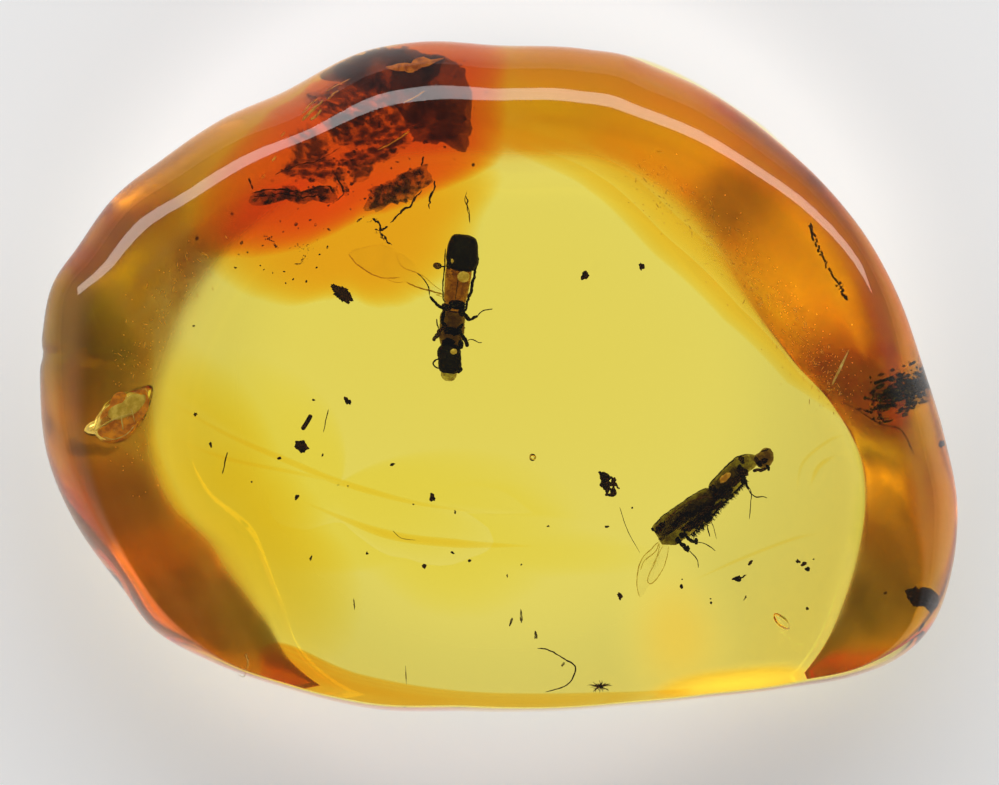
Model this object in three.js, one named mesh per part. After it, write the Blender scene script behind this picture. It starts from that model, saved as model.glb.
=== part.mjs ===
// A hand-polished nugget of amber, lying on its flat back.
//
// Frame, in millimetres: +Z up through the thickness, +X along the length, +Y across the width.
// The origin is on the resting plane, under the centre of the bounding box.
//
// The nugget is one closed body. Going up from the resting plane it has a flat back, a sloping
// back bevel out to the girdle (its widest outline), a rounded front bevel, and a low domed front.
// Each of the three outlines is a smooth closed curve through a few points, read as a radius
// against the angle round the Z axis.
import * as THREE from "three";

// Driving sizes.
const GIRDLE_LOWEST = 0.9; // the height of the widest outline where the back has no bevel
const GIRDLE_CLIMB = 0.85; // how much higher it runs for each millimetre of back bevel
const FRONT_HEIGHT = 6.7; // the plane of the front face's rim over the origin
const FRONT_RISE = 0.055; // how much that plane climbs for each millimetre of +Y
const FRONT_FALL = 0.03; // and how much it falls for each millimetre of +X
const FRONT_DOME = 0.9; // the front's crown, above that plane
const BACK_ROUNDING = 1.08; // bevel's superellipse power: 1 is a flat chamfer, 2 a round one
const FRONT_ROUNDING = 1.8;

// How finely the body is faceted.
const SIDES = 84;
const BACK_STEPS = 6;
const FRONT_STEPS = 8;
const DOME_STEPS = 4;

// The outlines seen from the front, anticlockwise from the right-hand end.
const GIRDLE = [
  [14.2, -3.9],
  [13.8, -1.8],
  [13.1, 0.4],
  [12.3, 2.6],
  [11.3, 4.4],
  [10.1, 5.9],
  [8.5, 7.4],
  [6.4, 8.9],
  [4.9, 9.6],
  [3.9, 10.0],
  [2.6, 10.2],
  [0.0, 10.3],
  [-2.5, 10.4],
  [-4.2, 10.1],
  [-6.6, 8.9],
  [-8.6, 8.0],
  [-10.4, 6.8],
  [-11.9, 5.6],
  [-13.0, 4.1],
  [-13.8, 2.9],
  [-14.1, 1.5],
  [-14.2, -0.3],
  [-14.0, -2.4],
  [-13.2, -4.4],
  [-11.7, -6.5],
  [-10.7, -7.8],
  [-9.0, -8.8],
  [-6.6, -9.7],
  [-4.1, -10.3],
  [-0.9, -10.4],
  [3.1, -10.3],
  [6.2, -10.0],
  [8.8, -9.7],
  [11.0, -9.3],
  [12.4, -8.7],
  [13.4, -7.7],
  [14.0, -6.1],
];
const BACK_FACE = [
  [10.8, -3.6],
  [10.6, -2.1],
  [9.8, -0.7],
  [8.5, 0.65],
  [7.1, 2.1],
  [5.85, 3.4],
  [4.6, 4.8],
  [2.6, 5.8],
  [0.2, 5.8],
  [-3.2, 5.8],
  [-6.1, 4.6],
  [-8.0, 2.9],
  [-8.9, 1.4],
  [-9.6, -0.3],
  [-9.8, -2.0],
  [-9.2, -3.6],
  [-7.8, -5.0],
  [-7.1, -6.6],
  [-6.4, -8.3],
  [-4.6, -9.6],
  [-1.0, -10.0],
  [3.1, -9.95],
  [6.2, -9.7],
  [8.8, -9.2],
  [9.7, -8.2],
  [10.4, -6.3],
];
const FRONT_FACE = [
  [12.2, -3.4],
  [11.6, -0.5],
  [10.0, 3.0],
  [7.2, 5.9],
  [3.8, 7.5],
  [-0.5, 7.9],
  [-4.4, 7.4],
  [-8.0, 5.6],
  [-11.0, 2.9],
  [-12.3, -0.3],
  [-12.1, -3.6],
  [-10.7, -6.6],
  [-8.6, -8.6],
  [-6.4, -9.45],
  [-4.0, -10.0],
  [-0.9, -10.1],
  [3.1, -10.05],
  [6.2, -9.75],
  [9.2, -9.35],
  [11.3, -8.8],
  [12.6, -7.6],
  [12.9, -5.8],
];

const TURN = 2 * Math.PI;

// A closed outline as a function: the angle round the Z axis to the radius there. Between two
// points the radius is a cubic whose slope at each point is that of the line between its two
// neighbours, so the outline has no corner.
function radiusOf(points) {
  const knots = points
    .map(([x, y]) => ({
      angle: (Math.atan2(y, x) + TURN) % TURN,
      radius: Math.hypot(x, y),
    }))
    .sort((a, b) => a.angle - b.angle);
  const count = knots.length;
  const knot = (i) => {
    const laps = Math.floor(i / count);
    const { angle, radius } = knots[i - laps * count];
    return { angle: angle + laps * TURN, radius };
  };
  const slope = (i) =>
    (knot(i + 1).radius - knot(i - 1).radius) /
    (knot(i + 1).angle - knot(i - 1).angle);
  return (angle) => {
    let i = -1;
    while (knot(i + 1).angle <= angle) i += 1;
    const from = knot(i);
    const to = knot(i + 1);
    const span = to.angle - from.angle;
    const t = (angle - from.angle) / span;
    const rest = 1 - t;
    return (
      from.radius * (1 + 2 * t) * rest * rest +
      slope(i) * span * t * rest * rest +
      to.radius * (3 - 2 * t) * t * t -
      slope(i + 1) * span * t * t * rest
    );
  };
}

const girdleRadius = radiusOf(GIRDLE);
const backRadius = radiusOf(BACK_FACE);
const frontRadius = radiusOf(FRONT_FACE);

// The height of the widest outline. It climbs where the back bevel is wide, so that the bevel is
// about equally steep all round.
const girdleHeight = (angle) =>
  GIRDLE_LOWEST + GIRDLE_CLIMB * (girdleRadius(angle) - backRadius(angle));

// The height of the plane through the front face's rim.
const frontPlane = (angle, radius) =>
  FRONT_HEIGHT +
  radius * (FRONT_RISE * Math.sin(angle) - FRONT_FALL * Math.cos(angle));

// A superellipse quarter: turn 0 is the girdle and turn 1 the flat face. Returns how much of the
// way in and how much of the way up or down it has gone.
function bevel(turn, power) {
  const angle = (turn * Math.PI) / 2;
  return {
    inward: 1 - Math.cos(angle) ** (2 / power),
    along: Math.sin(angle) ** (2 / power),
  };
}

// The rings of the body from the back face's rim to near the front's crown. Each is a function
// from an angle to a point.
function rings() {
  const at = (angle, radius, height) =>
    new THREE.Vector3(
      radius * Math.cos(angle),
      radius * Math.sin(angle),
      height,
    );
  const back = Array.from({ length: BACK_STEPS }, (_, i) => {
    const { inward, along } = bevel(1 - i / BACK_STEPS, BACK_ROUNDING);
    return (angle) =>
      at(
        angle,
        THREE.MathUtils.lerp(girdleRadius(angle), backRadius(angle), inward),
        girdleHeight(angle) * (1 - along),
      );
  });
  const front = Array.from({ length: FRONT_STEPS + 1 }, (_, i) => {
    const { inward, along } = bevel(i / FRONT_STEPS, FRONT_ROUNDING);
    return (angle) => {
      const radius = THREE.MathUtils.lerp(
        girdleRadius(angle),
        frontRadius(angle),
        inward,
      );
      const top = frontPlane(angle, frontRadius(angle));
      const height = THREE.MathUtils.lerp(girdleHeight(angle), top, along);
      return at(angle, radius, height);
    };
  });
  const dome = Array.from({ length: DOME_STEPS - 1 }, (_, i) => {
    const share = 1 - (i + 1) / DOME_STEPS;
    return (angle) => {
      const radius = frontRadius(angle) * share;
      const lift = FRONT_DOME * (1 - share * share);
      return at(angle, radius, frontPlane(angle, radius) + lift);
    };
  });
  return [...back, ...front, ...dome];
}

// A closed body through the rings, with a fan from a centre point over each end.
function lofted(ringList, bottom, top) {
  const points = ringList.flatMap((ring) =>
    Array.from({ length: SIDES }, (_, i) => ring((i / SIDES) * TURN)),
  );
  const bottomIndex = points.push(bottom) - 1;
  const topIndex = points.push(top) - 1;
  const lastRing = (ringList.length - 1) * SIDES;
  const faces = [];
  for (let i = 0; i < SIDES; i += 1) {
    const next = (i + 1) % SIDES;
    faces.push(bottomIndex, next, i);
    for (let start = 0; start < lastRing; start += SIDES) {
      faces.push(start + i, start + next, start + SIDES + next);
      faces.push(start + i, start + SIDES + next, start + SIDES + i);
    }
    faces.push(topIndex, lastRing + i, lastRing + next);
  }
  return new THREE.BufferGeometry().setFromPoints(points).setIndex(faces);
}

function amberNugget() {
  const geometry = lofted(
    rings(),
    new THREE.Vector3(0, 0, 0),
    new THREE.Vector3(0, 0, FRONT_HEIGHT + FRONT_DOME),
  );
  geometry.computeBoundingBox();
  const centre = geometry.boundingBox.getCenter(new THREE.Vector3());
  geometry.translate(-centre.x, -centre.y, 0);
  geometry.computeVertexNormals();
  const amber = new THREE.MeshStandardMaterial({
    color: 0xd99a12,
    roughness: 0.08,
    metalness: 0,
    transparent: true,
    opacity: 0.7,
  });
  const mesh = new THREE.Mesh(geometry, amber);
  mesh.name = "amber_nugget";
  return mesh;
}

const part = new THREE.Group();
part.add(amberNugget());

export default part;
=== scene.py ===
"""A polished nugget of amber with two ambrosia beetles and forest litter sealed inside it.

Sizes are in millimetres until a mesh is made. +Z goes up out of the polished front, +X along the
length and +Y across the width. The nugget lies on its flat back at Z = 0.
"""

import logging
from collections.abc import Iterable, Sequence
from dataclasses import dataclass, field
from enum import Enum
from math import pi, radians, tan

import bpy
import numpy as np
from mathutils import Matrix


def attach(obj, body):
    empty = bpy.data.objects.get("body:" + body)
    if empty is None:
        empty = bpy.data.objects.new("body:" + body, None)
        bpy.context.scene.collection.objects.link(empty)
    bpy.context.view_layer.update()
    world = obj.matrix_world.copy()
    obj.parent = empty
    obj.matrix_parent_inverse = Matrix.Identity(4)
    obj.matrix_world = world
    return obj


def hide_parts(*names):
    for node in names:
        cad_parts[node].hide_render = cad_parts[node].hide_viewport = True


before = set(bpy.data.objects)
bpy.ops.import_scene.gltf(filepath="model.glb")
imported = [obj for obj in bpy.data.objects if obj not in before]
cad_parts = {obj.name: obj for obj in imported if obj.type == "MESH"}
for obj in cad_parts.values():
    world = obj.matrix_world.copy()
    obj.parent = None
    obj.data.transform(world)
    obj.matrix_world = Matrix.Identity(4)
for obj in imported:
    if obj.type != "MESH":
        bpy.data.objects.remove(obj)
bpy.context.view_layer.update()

LOG = logging.getLogger("amber")
MM = 0.001
TURN = 2 * pi

Points2 = Sequence[tuple[float, float]]
Points3 = Sequence[tuple[float, float, float]]
Colour = tuple[float, float, float]
Span = tuple[float, float]
Heap = tuple[float, float, float, float]
Grain = tuple[float, float, float, float, float]
Glow = tuple[float, float, float, float, float]
Socket = bpy.types.NodeSocket


class Slot(Enum):
    """The material slots of the record."""

    AMBER = "amber"
    CHITIN = "chitin"
    WING = "wing_membrane"
    LITTER = "plant_debris"
    AIR = "air_bubble"


# --------------------------------------------------------------------------------------------
# Curves and surfaces
# --------------------------------------------------------------------------------------------


def smooth_step(value: np.ndarray, low: float, high: float) -> np.ndarray:
    """0 below low, 1 above high, and 3 t squared less 2 t cubed between them."""
    t = np.clip((value - low) / (high - low), 0, 1)
    return t * t * (3 - 2 * t)


def through(rows: Sequence[Sequence[float]], count: int) -> np.ndarray:
    """A smooth line through rows of numbers.

    Between two rows it is the Catmull-Rom cubic: its slope at a row is half the step between
    that row's two neighbours.

    Args:
        rows: the points it passes, each of any number of values.
        count: how many points to give back.

    Returns:
        An array of count rows, evenly spread in the cubic's own measure.
    """
    p = np.asarray(rows, float)
    p = np.vstack([2 * p[0] - p[1], p, 2 * p[-1] - p[-2]])
    t = np.linspace(0, len(p) - 3, count)
    i = np.minimum(t.astype(int), len(p) - 4)
    t = (t - i)[:, None]
    a, b, c, d = p[i], p[i + 1], p[i + 2], p[i + 3]
    return b + 0.5 * t * (c - a + t * (2 * a - 5 * b + 4 * c - d + t * (3 * (b - c) + d - a)))


def radius_of(points: Points2, angle: np.ndarray) -> np.ndarray:
    """A closed outline as radius against angle round the origin.

    Between two points the radius is a cubic whose slope at each point is that of the line
    between its two neighbours.

    Args:
        points: the outline, in any order round the origin.
        angle: where to read it, in radians.

    Returns:
        The radius at each angle.
    """
    xy = np.array(points)
    angles = np.arctan2(xy[:, 1], xy[:, 0]) % TURN
    order = np.argsort(angles)
    angles, radii = angles[order], np.hypot(xy[:, 0], xy[:, 1])[order]
    angles = np.concatenate([angles[-2:] - TURN, angles, angles[:3] + TURN])
    radii = np.concatenate([radii[-2:], radii, radii[:3]])
    slope = np.gradient(radii)
    slope[1:-1] = (radii[2:] - radii[:-2]) / (angles[2:] - angles[:-2])
    angle = angle % TURN
    i = np.searchsorted(angles, angle, side="right") - 1
    span = angles[i + 1] - angles[i]
    t = (angle - angles[i]) / span
    rest = 1 - t
    from_here = radii[i] * (1 + 2 * t) * rest**2 + slope[i] * span * t * rest**2
    to_next = radii[i + 1] * (3 - 2 * t) * t**2 - slope[i + 1] * span * t**2 * rest
    return from_here + to_next


def ripple(points: np.ndarray, seed: int, waves: float, octaves: int = 4) -> np.ndarray:
    """Smooth noise from -1 to 1 at each point: sines along random directions.

    Each octave adds six sines of twice the pitch and 0.6 of the height of the last.

    Args:
        points: places, in any unit, in their last axis.
        seed: picks the directions.
        waves: how many waves the widest sine has in one unit.
        octaves: how many layers.

    Returns:
        One value for each point.
    """
    draw = np.random.default_rng(seed)
    total, height, full = np.zeros(points.shape[:-1]), 1.0, 0.0
    for octave in range(octaves):
        heading = draw.normal(size=(points.shape[-1], 6))
        heading /= np.linalg.norm(heading, axis=0)
        phase = draw.uniform(0, TURN, 6)
        total += height * np.sin(points @ heading * TURN * waves * 2**octave + phase).mean(-1) * 1.6
        full += height
        height *= 0.6
    return np.clip(total / full * 1.6, -1, 1)


@dataclass
class Shape:
    """A closed surface: its points, its faces and a tone from 0 to 1 at each point."""

    points: np.ndarray
    quads: np.ndarray
    ends: np.ndarray
    tone: np.ndarray

    def moved(self, place: "Place") -> "Shape":
        """The same surface at a place."""
        return Shape(place.put(self.points), self.quads, self.ends, self.tone)


def closed(grid: np.ndarray, tone: float | np.ndarray = 0.0) -> Shape:
    """A closed surface from rings of points, with a fan over each end ring.

    Args:
        grid: rings by points by 3. The last point of a ring joins the first.
        tone: one number, or one for each ring, or one for each point of the grid.

    Returns:
        The shape, with its faces outward: where the signed volume of its tetrahedra from the
        origin is negative, every face is turned round.
    """
    rings, sides, _ = grid.shape
    points = np.concatenate([grid.reshape(-1, 3), [grid[0].mean(0), grid[-1].mean(0)]])
    here = np.arange(rings * sides).reshape(rings, sides)
    after = np.roll(here, -1, axis=1)
    quads = np.stack([here[:-1], after[:-1], after[1:], here[1:]], -1).reshape(-1, 4)
    first, last = np.full(sides, rings * sides), np.full(sides, rings * sides + 1)
    ends = np.concatenate(
        [np.stack([first, after[0], here[0]], -1), np.stack([last, here[-1], after[-1]], -1)]
    )
    corners = points[np.concatenate([quads[:, :3], quads[:, [0, 2, 3]], ends])]
    volume = np.einsum("ij,ij->", corners[:, 0], np.cross(corners[:, 1], corners[:, 2]))
    if volume < 0:
        quads, ends = quads[:, ::-1], ends[:, ::-1]
    tones = np.asarray(tone, float)
    tones = tones[:, None] if tones.ndim == 1 else tones
    tones = np.broadcast_to(tones, (rings, sides)).reshape(-1)
    both = [tones[:sides].mean(), tones[-sides:].mean()]
    return Shape(points, quads, ends, np.concatenate([tones, both]))


def tube(
    path: Sequence[Sequence[float]],
    widths: Sequence[float],
    count: int = 24,
    sides: int = 8,
    flat: float = 1.0,
    tone: float = 0.0,
    rough: float = 0.0,
) -> Shape:
    """A round tube: a circle carried along a smooth path, square to it, and closed at its ends.

    Args:
        path: the points its middle line passes.
        widths: diameters, evenly spread along the path and smoothly joined.
        count: how many rings.
        sides: points in a ring.
        flat: the depth of the section against its width.
        tone: the tone of the whole tube.
        rough: how much of its width noise takes, and how far it bends the path, in widths.

    Returns:
        The shape.
    """
    line = through(path, count)
    share = np.linspace(0, 1, count)
    radius = np.interp(share, np.linspace(0, 1, len(widths)), widths) / 2
    radius = radius * np.sqrt(np.clip(1 - (2 * share - 1) ** 12, 0.08, 1))
    if rough:
        bend = np.stack([ripple(line, seed, waves=2.5, octaves=3) for seed in (1, 2, 3)], -1)
        line = line + rough * max(widths) * bend
        radius = radius * (1 + rough * ripple(line, 4, waves=4.0, octaves=3))
    along = np.gradient(line, axis=0)
    along /= np.linalg.norm(along, axis=1, keepdims=True)
    side = np.cross(along, (0.05, 0.02, 1.0))
    side /= np.linalg.norm(side, axis=1, keepdims=True)
    deep = np.cross(side, along) * flat
    turn = np.linspace(0, TURN, sides, endpoint=False)[:, None]
    ring = np.cos(turn) * side[:, None] + np.sin(turn) * deep[:, None]
    return closed(line[:, None] + radius[:, None, None] * ring, tone)


def loft(
    stations: Sequence[Sequence[float]],
    count: int = 40,
    sides: int = 32,
    square: float = 2.0,
    tone: float = 0.0,
) -> Shape:
    """A body along X whose section is a superellipse that changes smoothly from end to end.

    Args:
        stations: rows of place along X, middle in Y, half width in Y, half depth in Z.
        count: how many rings.
        sides: points in a ring.
        square: the superellipse's power: 2 is an oval, and more is boxier.
        tone: the tone of the whole body.

    Returns:
        The shape.
    """
    x, middle, wide, deep = through(stations, count).T
    turn = np.linspace(0, TURN, sides, endpoint=False)
    c, s = np.cos(turn), np.sin(turn)
    across = np.sign(c) * np.abs(c) ** (2 / square)
    up = np.sign(s) * np.abs(s) ** (2 / square)
    wide, deep = np.maximum(wide, 0.004), np.maximum(deep, 0.004)
    grid = np.stack(
        [
            np.broadcast_to(x[:, None], (count, sides)),
            middle[:, None] + wide[:, None] * across,
            deep[:, None] * up,
        ],
        -1,
    )
    return closed(grid, tone)


def ball(size: Sequence[float], rough: float = 0.0, seed: int = 0, fine: int = 14) -> Shape:
    """A lump: a sphere stretched to size, its radius changed by a share of smooth noise.

    Args:
        size: its three widths.
        rough: how much of the radius the noise moves.
        seed: picks the noise.
        fine: rings from pole to pole; there are twice as many points in a ring.

    Returns:
        The shape, centred on the origin.
    """
    tilt = np.linspace(0, pi, fine + 1)[1:-1, None]
    turn = np.linspace(0, TURN, 2 * fine, endpoint=False)
    unit = np.stack(
        [np.sin(tilt) * np.cos(turn), np.sin(tilt) * np.sin(turn), np.cos(tilt) + 0 * turn], -1
    )
    radius = 1 + rough * ripple(unit, seed, waves=0.55, octaves=3)
    return closed(unit * radius[..., None] * np.asarray(size) / 2)


def flake(
    outline: Points2,
    thick: float,
    jag: float = 0.0,
    seed: int = 0,
    bow: float = 0.0,
    taper: float = 4.0,
    fine: int = 72,
    steps: int = 5,
    soft: float = 0.5,
) -> Shape:
    """A thin plate or lens round the middle of its outline. Its tone rises to 1 at its rim.

    Its thickness is thick times a number to the power soft. That number is 1 less the share of
    the way out to the power taper. So a taper of 2 is a lens and more is a flat plate.

    Args:
        outline: the points of its edge, anticlockwise or not.
        thick: thickness at the middle.
        jag: how far noise moves the edge, as a share of its radius.
        seed: picks the noise.
        bow: how far the plate's noise lifts it out of its plane.
        taper: the power above.
        fine: points round the edge.
        steps: rings from the middle to the edge, on each face.
        soft: the other power above: 0.5 has a round rim and 1 or more a thin one.

    Returns:
        The shape, in the plane of its outline.
    """
    xy = np.asarray(outline, float)
    middle = xy.mean(0)
    turn = np.linspace(0, TURN, fine, endpoint=False)
    edge = radius_of([tuple(p) for p in xy - middle], turn)
    heading = np.stack([np.cos(turn), np.sin(turn)], -1)
    edge = edge * (1 + jag * ripple(heading * 2, seed, waves=0.9, octaves=6))
    share = np.sin(np.linspace(0, pi, 2 * steps + 1)[1:-1])
    half = thick / 2 * np.clip(1 - share**taper, 0, 1) ** soft
    half[: steps - 1] *= -1
    half[steps - 1] = 0
    flat = heading * edge[:, None] * share[:, None, None]
    lift = bow * ripple(flat, seed + 7, waves=0.6, octaves=3)
    grid = np.concatenate([flat + middle, (half[:, None] + lift)[..., None]], -1)
    return closed(grid, share**8)


@dataclass(frozen=True)
class Place:
    """Where a shape goes: turned about X by roll, about Y by pitch, about Z by heading."""

    x: float
    y: float
    z: float
    heading: float = 0.0
    roll: float = 0.0
    pitch: float = 0.0

    def put(self, points: np.ndarray) -> np.ndarray:
        """The points, turned by the three angles in degrees and then moved.

        Args:
            points: places, in their last axis.

        Returns:
            The places where they end.
        """
        for axis, angle in ((0, self.roll), (1, self.pitch), (2, self.heading)):
            a, b = (axis + 1) % 3, (axis + 2) % 3
            c, s = np.cos(radians(angle)), np.sin(radians(angle))
            turned = points.copy()
            turned[..., a] = c * points[..., a] - s * points[..., b]
            turned[..., b] = s * points[..., a] + c * points[..., b]
            points = turned
        return points + (self.x, self.y, self.z)


# --------------------------------------------------------------------------------------------
# Finishes
# --------------------------------------------------------------------------------------------


class Sheet:
    """A node tree, with short ways to add nodes and join them."""

    def __init__(self, tree: bpy.types.NodeTree) -> None:
        """Takes a tree up as it stands."""
        self.tree = tree

    def add(self, kind: str, source: Socket | None = None, **settings: str) -> bpy.types.Node:
        """A new node, its first socket fed by the source.

        Args:
            kind: the node's type, less its common start.
            source: what feeds its first socket, if anything does.
            settings: its own settings.

        Returns:
            The node.
        """
        node = self.tree.nodes.new(f"ShaderNode{kind}")
        for name, value in settings.items():
            setattr(node, name, value)
        if source is not None:
            self.tree.links.new(source, node.inputs[0])
        return node

    def feed(self, socket: Socket, value: float | tuple[float, ...] | Socket) -> None:
        """Give a socket a value of its own, or link another socket to it.

        Args:
            socket: what is fed.
            value: the value or the other socket.
        """
        if isinstance(value, bpy.types.NodeSocket):
            self.tree.links.new(value, socket)
        else:
            socket.default_value = value

    def math(self, operation: str, *values: float | Socket) -> Socket:
        """The sum, product or other result of numbers and sockets.

        Args:
            operation: the node's name for it.
            values: its inputs in order.

        Returns:
            The result's socket.
        """
        node = self.add("Math", operation=operation)
        for socket, value in zip(node.inputs, values):
            self.feed(socket, value)
        return node.outputs["Value"]

    def length(self, source: Socket) -> Socket:
        """The length of a vector."""
        return self.add("VectorMath", source, operation="LENGTH").outputs["Value"]

    def span(self, source: Socket, low: float, high: float, start: float, end: float) -> Socket:
        """The source's run from low to high, turned smoothly into start to end.

        Args:
            source: the value that is read.
            low: where its run starts.
            high: where its run ends.
            start: the result up to low.
            end: the result from high on.

        Returns:
            The result's socket.
        """
        node = self.add("MapRange", source, interpolation_type="SMOOTHSTEP")
        for socket, value in zip(node.inputs[1:5], (low, high, start, end)):
            socket.default_value = value
        return node.outputs["Result"]


class Nodes(Sheet):
    """The sheet of a new material."""

    def __init__(self, name: str) -> None:
        """An empty sheet with an output and a Principled shader joined to it.

        Args:
            name: the material's name.
        """
        self.material = bpy.data.materials.new(name)
        self.material.use_nodes = True
        super().__init__(self.material.node_tree)
        self.tree.nodes.clear()
        self.output = self.add("OutputMaterial")
        self.shader = self.add("BsdfPrincipled")
        self.feed(self.output.inputs["Surface"], self.shader.outputs["BSDF"])

    def set(self, **values: float | tuple[float, ...] | Socket) -> None:
        """Feed the shader's own sockets. An underscore in a name stands for a space."""
        for name, value in values.items():
            self.feed(self.shader.inputs[name.replace("_", " ")], value)

    def place(self) -> Socket:
        """Object coordinates."""
        return self.add("TexCoord").outputs["Object"]

    def tone(self, name: str = "tone") -> Socket:
        """The tone, or another number, kept at each point of the mesh."""
        return self.add("Attribute", attribute_name=name).outputs["Fac"]

    def noise(self, pitch: float, detail: float = 4.0, stretch: Colour = (1, 1, 1)) -> Socket:
        """Noise from 0 to 1 in patches.

        Args:
            pitch: about how wide a patch is, in millimetres.
            detail: how many finer layers it has.
            stretch: how much closer the patches are along each axis.

        Returns:
            The noise's socket.
        """
        mapping = self.add("Mapping", self.place())
        mapping.inputs["Scale"].default_value = stretch
        node = self.add("TexNoise", mapping.outputs["Vector"])
        node.inputs["Scale"].default_value = 1 / (pitch * MM)
        node.inputs["Detail"].default_value = detail
        return node.outputs["Fac"]

    def blend(self, share: Socket, start: Colour | Socket, end: Colour | Socket) -> Socket:
        """Colour from start to end as share goes from 0 to 1.

        Args:
            share: the share of the end.
            start: a colour or a socket.
            end: the same.

        Returns:
            The colour's socket.
        """
        node = self.add("Mix", data_type="RGBA")
        self.feed(node.inputs["Factor"], share)
        for socket, value in zip(node.inputs[6:8], (start, end)):
            self.feed(socket, (*value, 1) if isinstance(value, tuple) else value)
        return node.outputs[2]

    def bump(self, source: Socket, height: float) -> None:
        """Raise the surface by height millimetres where the source is 1.

        Args:
            source: a value from 0 to 1.
            height: in millimetres.
        """
        node = self.add("Bump")
        node.inputs["Distance"].default_value = height * MM
        self.feed(node.inputs["Height"], source)
        self.set(Normal=node.outputs["Normal"])

    def absorb(self, per_mm: Colour) -> None:
        """Fill the piece with plain absorption of so much red, green and blue a millimetre.

        Args:
            per_mm: what a millimetre absorbs of each.
        """
        node = self.add("VolumeAbsorption")
        most = max(per_mm)
        node.inputs["Density"].default_value = most / MM
        node.inputs["Color"].default_value = (*(1 - value / most for value in per_mm), 1)
        self.feed(self.output.inputs["Volume"], node.outputs["Volume"])


@dataclass(frozen=True)
class AmberGlass:
    """Clear amber whose tint deepens to orange where the tone is 1."""

    ior: float = 1.54
    absorbed: Colour = (0.0045, 0.022, 0.265)
    fresh: Colour = (1.0, 0.96, 0.88)
    skin: Colour = (0.93, 0.44, 0.06)

    def material(self) -> bpy.types.Material:
        """Clear glass whose tint deepens with the tone, as rough as its own attribute says.

        Returns:
            The material.
        """
        nodes = Nodes("amber")
        tint = nodes.blend(nodes.tone(), self.fresh, self.skin)
        nodes.set(Transmission_Weight=1.0, IOR=self.ior, Base_Color=tint, Roughness=nodes.tone("frost"))
        nodes.absorb(self.absorbed)
        return nodes.material


@dataclass(frozen=True)
class Haze:
    """A cloud in the amber: no surface of its own, only more absorption."""

    name: str
    absorbed: Colour

    def material(self) -> bpy.types.Material:
        """A surface that bends no light, filled with absorption.

        Returns:
            The material.
        """
        nodes = Nodes(self.name)
        nodes.set(Transmission_Weight=1.0, IOR=1.0, Roughness=0.0, Base_Color=(1, 1, 1, 1))
        nodes.absorb(self.absorbed)
        return nodes.material


@dataclass(frozen=True)
class Air:
    """Air sealed in amber: the light bends as it does from amber to air."""

    amber_ior: float = 1.54

    def material(self) -> bpy.types.Material:
        """Clear glass whose index is 1 over the amber's.

        Returns:
            The material.
        """
        nodes = Nodes("trapped_air")
        film = nodes.span(nodes.noise(0.2, detail=3), 0.4, 0.7, 0.0, 0.12)
        clear = (1, 1, 1, 1)
        nodes.set(Transmission_Weight=1.0, IOR=1 / self.amber_ior, Base_Color=clear, Roughness=film)
        return nodes.material


@dataclass(frozen=True)
class Cuticle:
    """Insect cuticle: dark where the tone is 0, thin, brown and see-through where it is 1."""

    name: str = "cuticle"
    dark: Colour = (0.008, 0.007, 0.001)
    brown: Colour = (0.2, 0.075, 0.01)
    mottle: float = 0.16
    cover_dark: float = 1.0
    cover_brown: float = 0.62
    pits: float = 0.012
    gloss: float = 0.05

    def material(self) -> bpy.types.Material:
        """Mottled dark brown with a waxy gloss and fine pits.

        Returns:
            The material.
        """
        nodes = Nodes(self.name)
        patches = nodes.noise(self.mottle, detail=5)
        brown = nodes.blend(patches, tuple(0.35 * c for c in self.brown), self.brown)
        dull = nodes.span(nodes.noise(0.07, detail=4), 0.3, 0.7, 0.3, 0.55)
        thin = nodes.math("MULTIPLY", nodes.tone(), nodes.span(patches, 0.3, 0.7, 0.75, 1.1))
        cover = nodes.span(thin, 0.0, 1.0, self.cover_dark, self.cover_brown)
        colour = nodes.blend(nodes.tone(), self.dark, brown)
        nodes.set(Base_Color=colour, Roughness=dull, Alpha=cover)
        nodes.bump(nodes.noise(0.05, detail=2), self.pits)
        nodes.set(Specular_IOR_Level=self.gloss)
        return nodes.material


@dataclass(frozen=True)
class SheerCuticle:
    """Thin cuticle full of brown resin: light passes through and is stained by its depth."""

    name: str
    absorbed: Colour
    ior: float = 1.03
    dull: Colour = (0.42, 0.3, 0.16)
    clear: Colour = (1.0, 0.95, 0.85)

    def material(self) -> bpy.types.Material:
        """Nearly the amber's own index, dimpled and a little frosted, filled with absorption.

        Returns:
            The material.
        """
        nodes = Nodes(self.name)
        patches = nodes.noise(0.14, detail=5)
        tint = nodes.blend(nodes.span(patches, 0.35, 0.65, 0, 1), self.dull, self.clear)
        frost = nodes.span(patches, 0.3, 0.7, 0.22, 0.08)
        nodes.set(Transmission_Weight=1.0, IOR=self.ior, Base_Color=tint, Roughness=frost)
        nodes.bump(nodes.noise(0.09, detail=3), 0.03)
        nodes.absorb(self.absorbed)
        return nodes.material


@dataclass(frozen=True)
class Membrane:
    """Wing membrane: a clear film with a faint brown tint."""

    tint: Colour = (0.3, 0.16, 0.03)
    cover: float = 0.03

    def material(self) -> bpy.types.Material:
        """A glossy film whose tint is a little uneven.

        Returns:
            The material.
        """
        nodes = Nodes("wing_film")
        patches = nodes.noise(0.35, detail=4)
        tint = nodes.blend(patches, tuple(0.6 * c for c in self.tint), self.tint)
        cover = nodes.span(patches, 0.3, 0.7, 0.6 * self.cover, 1.4 * self.cover)
        gloss = nodes.span(patches, 0.3, 0.7, 0.12, 0.3)
        nodes.set(Base_Color=tint, Alpha=cover, Roughness=gloss, Specular_IOR_Level=0.1)
        nodes.bump(nodes.noise(0.12, detail=3), 0.004)
        return nodes.material


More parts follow.
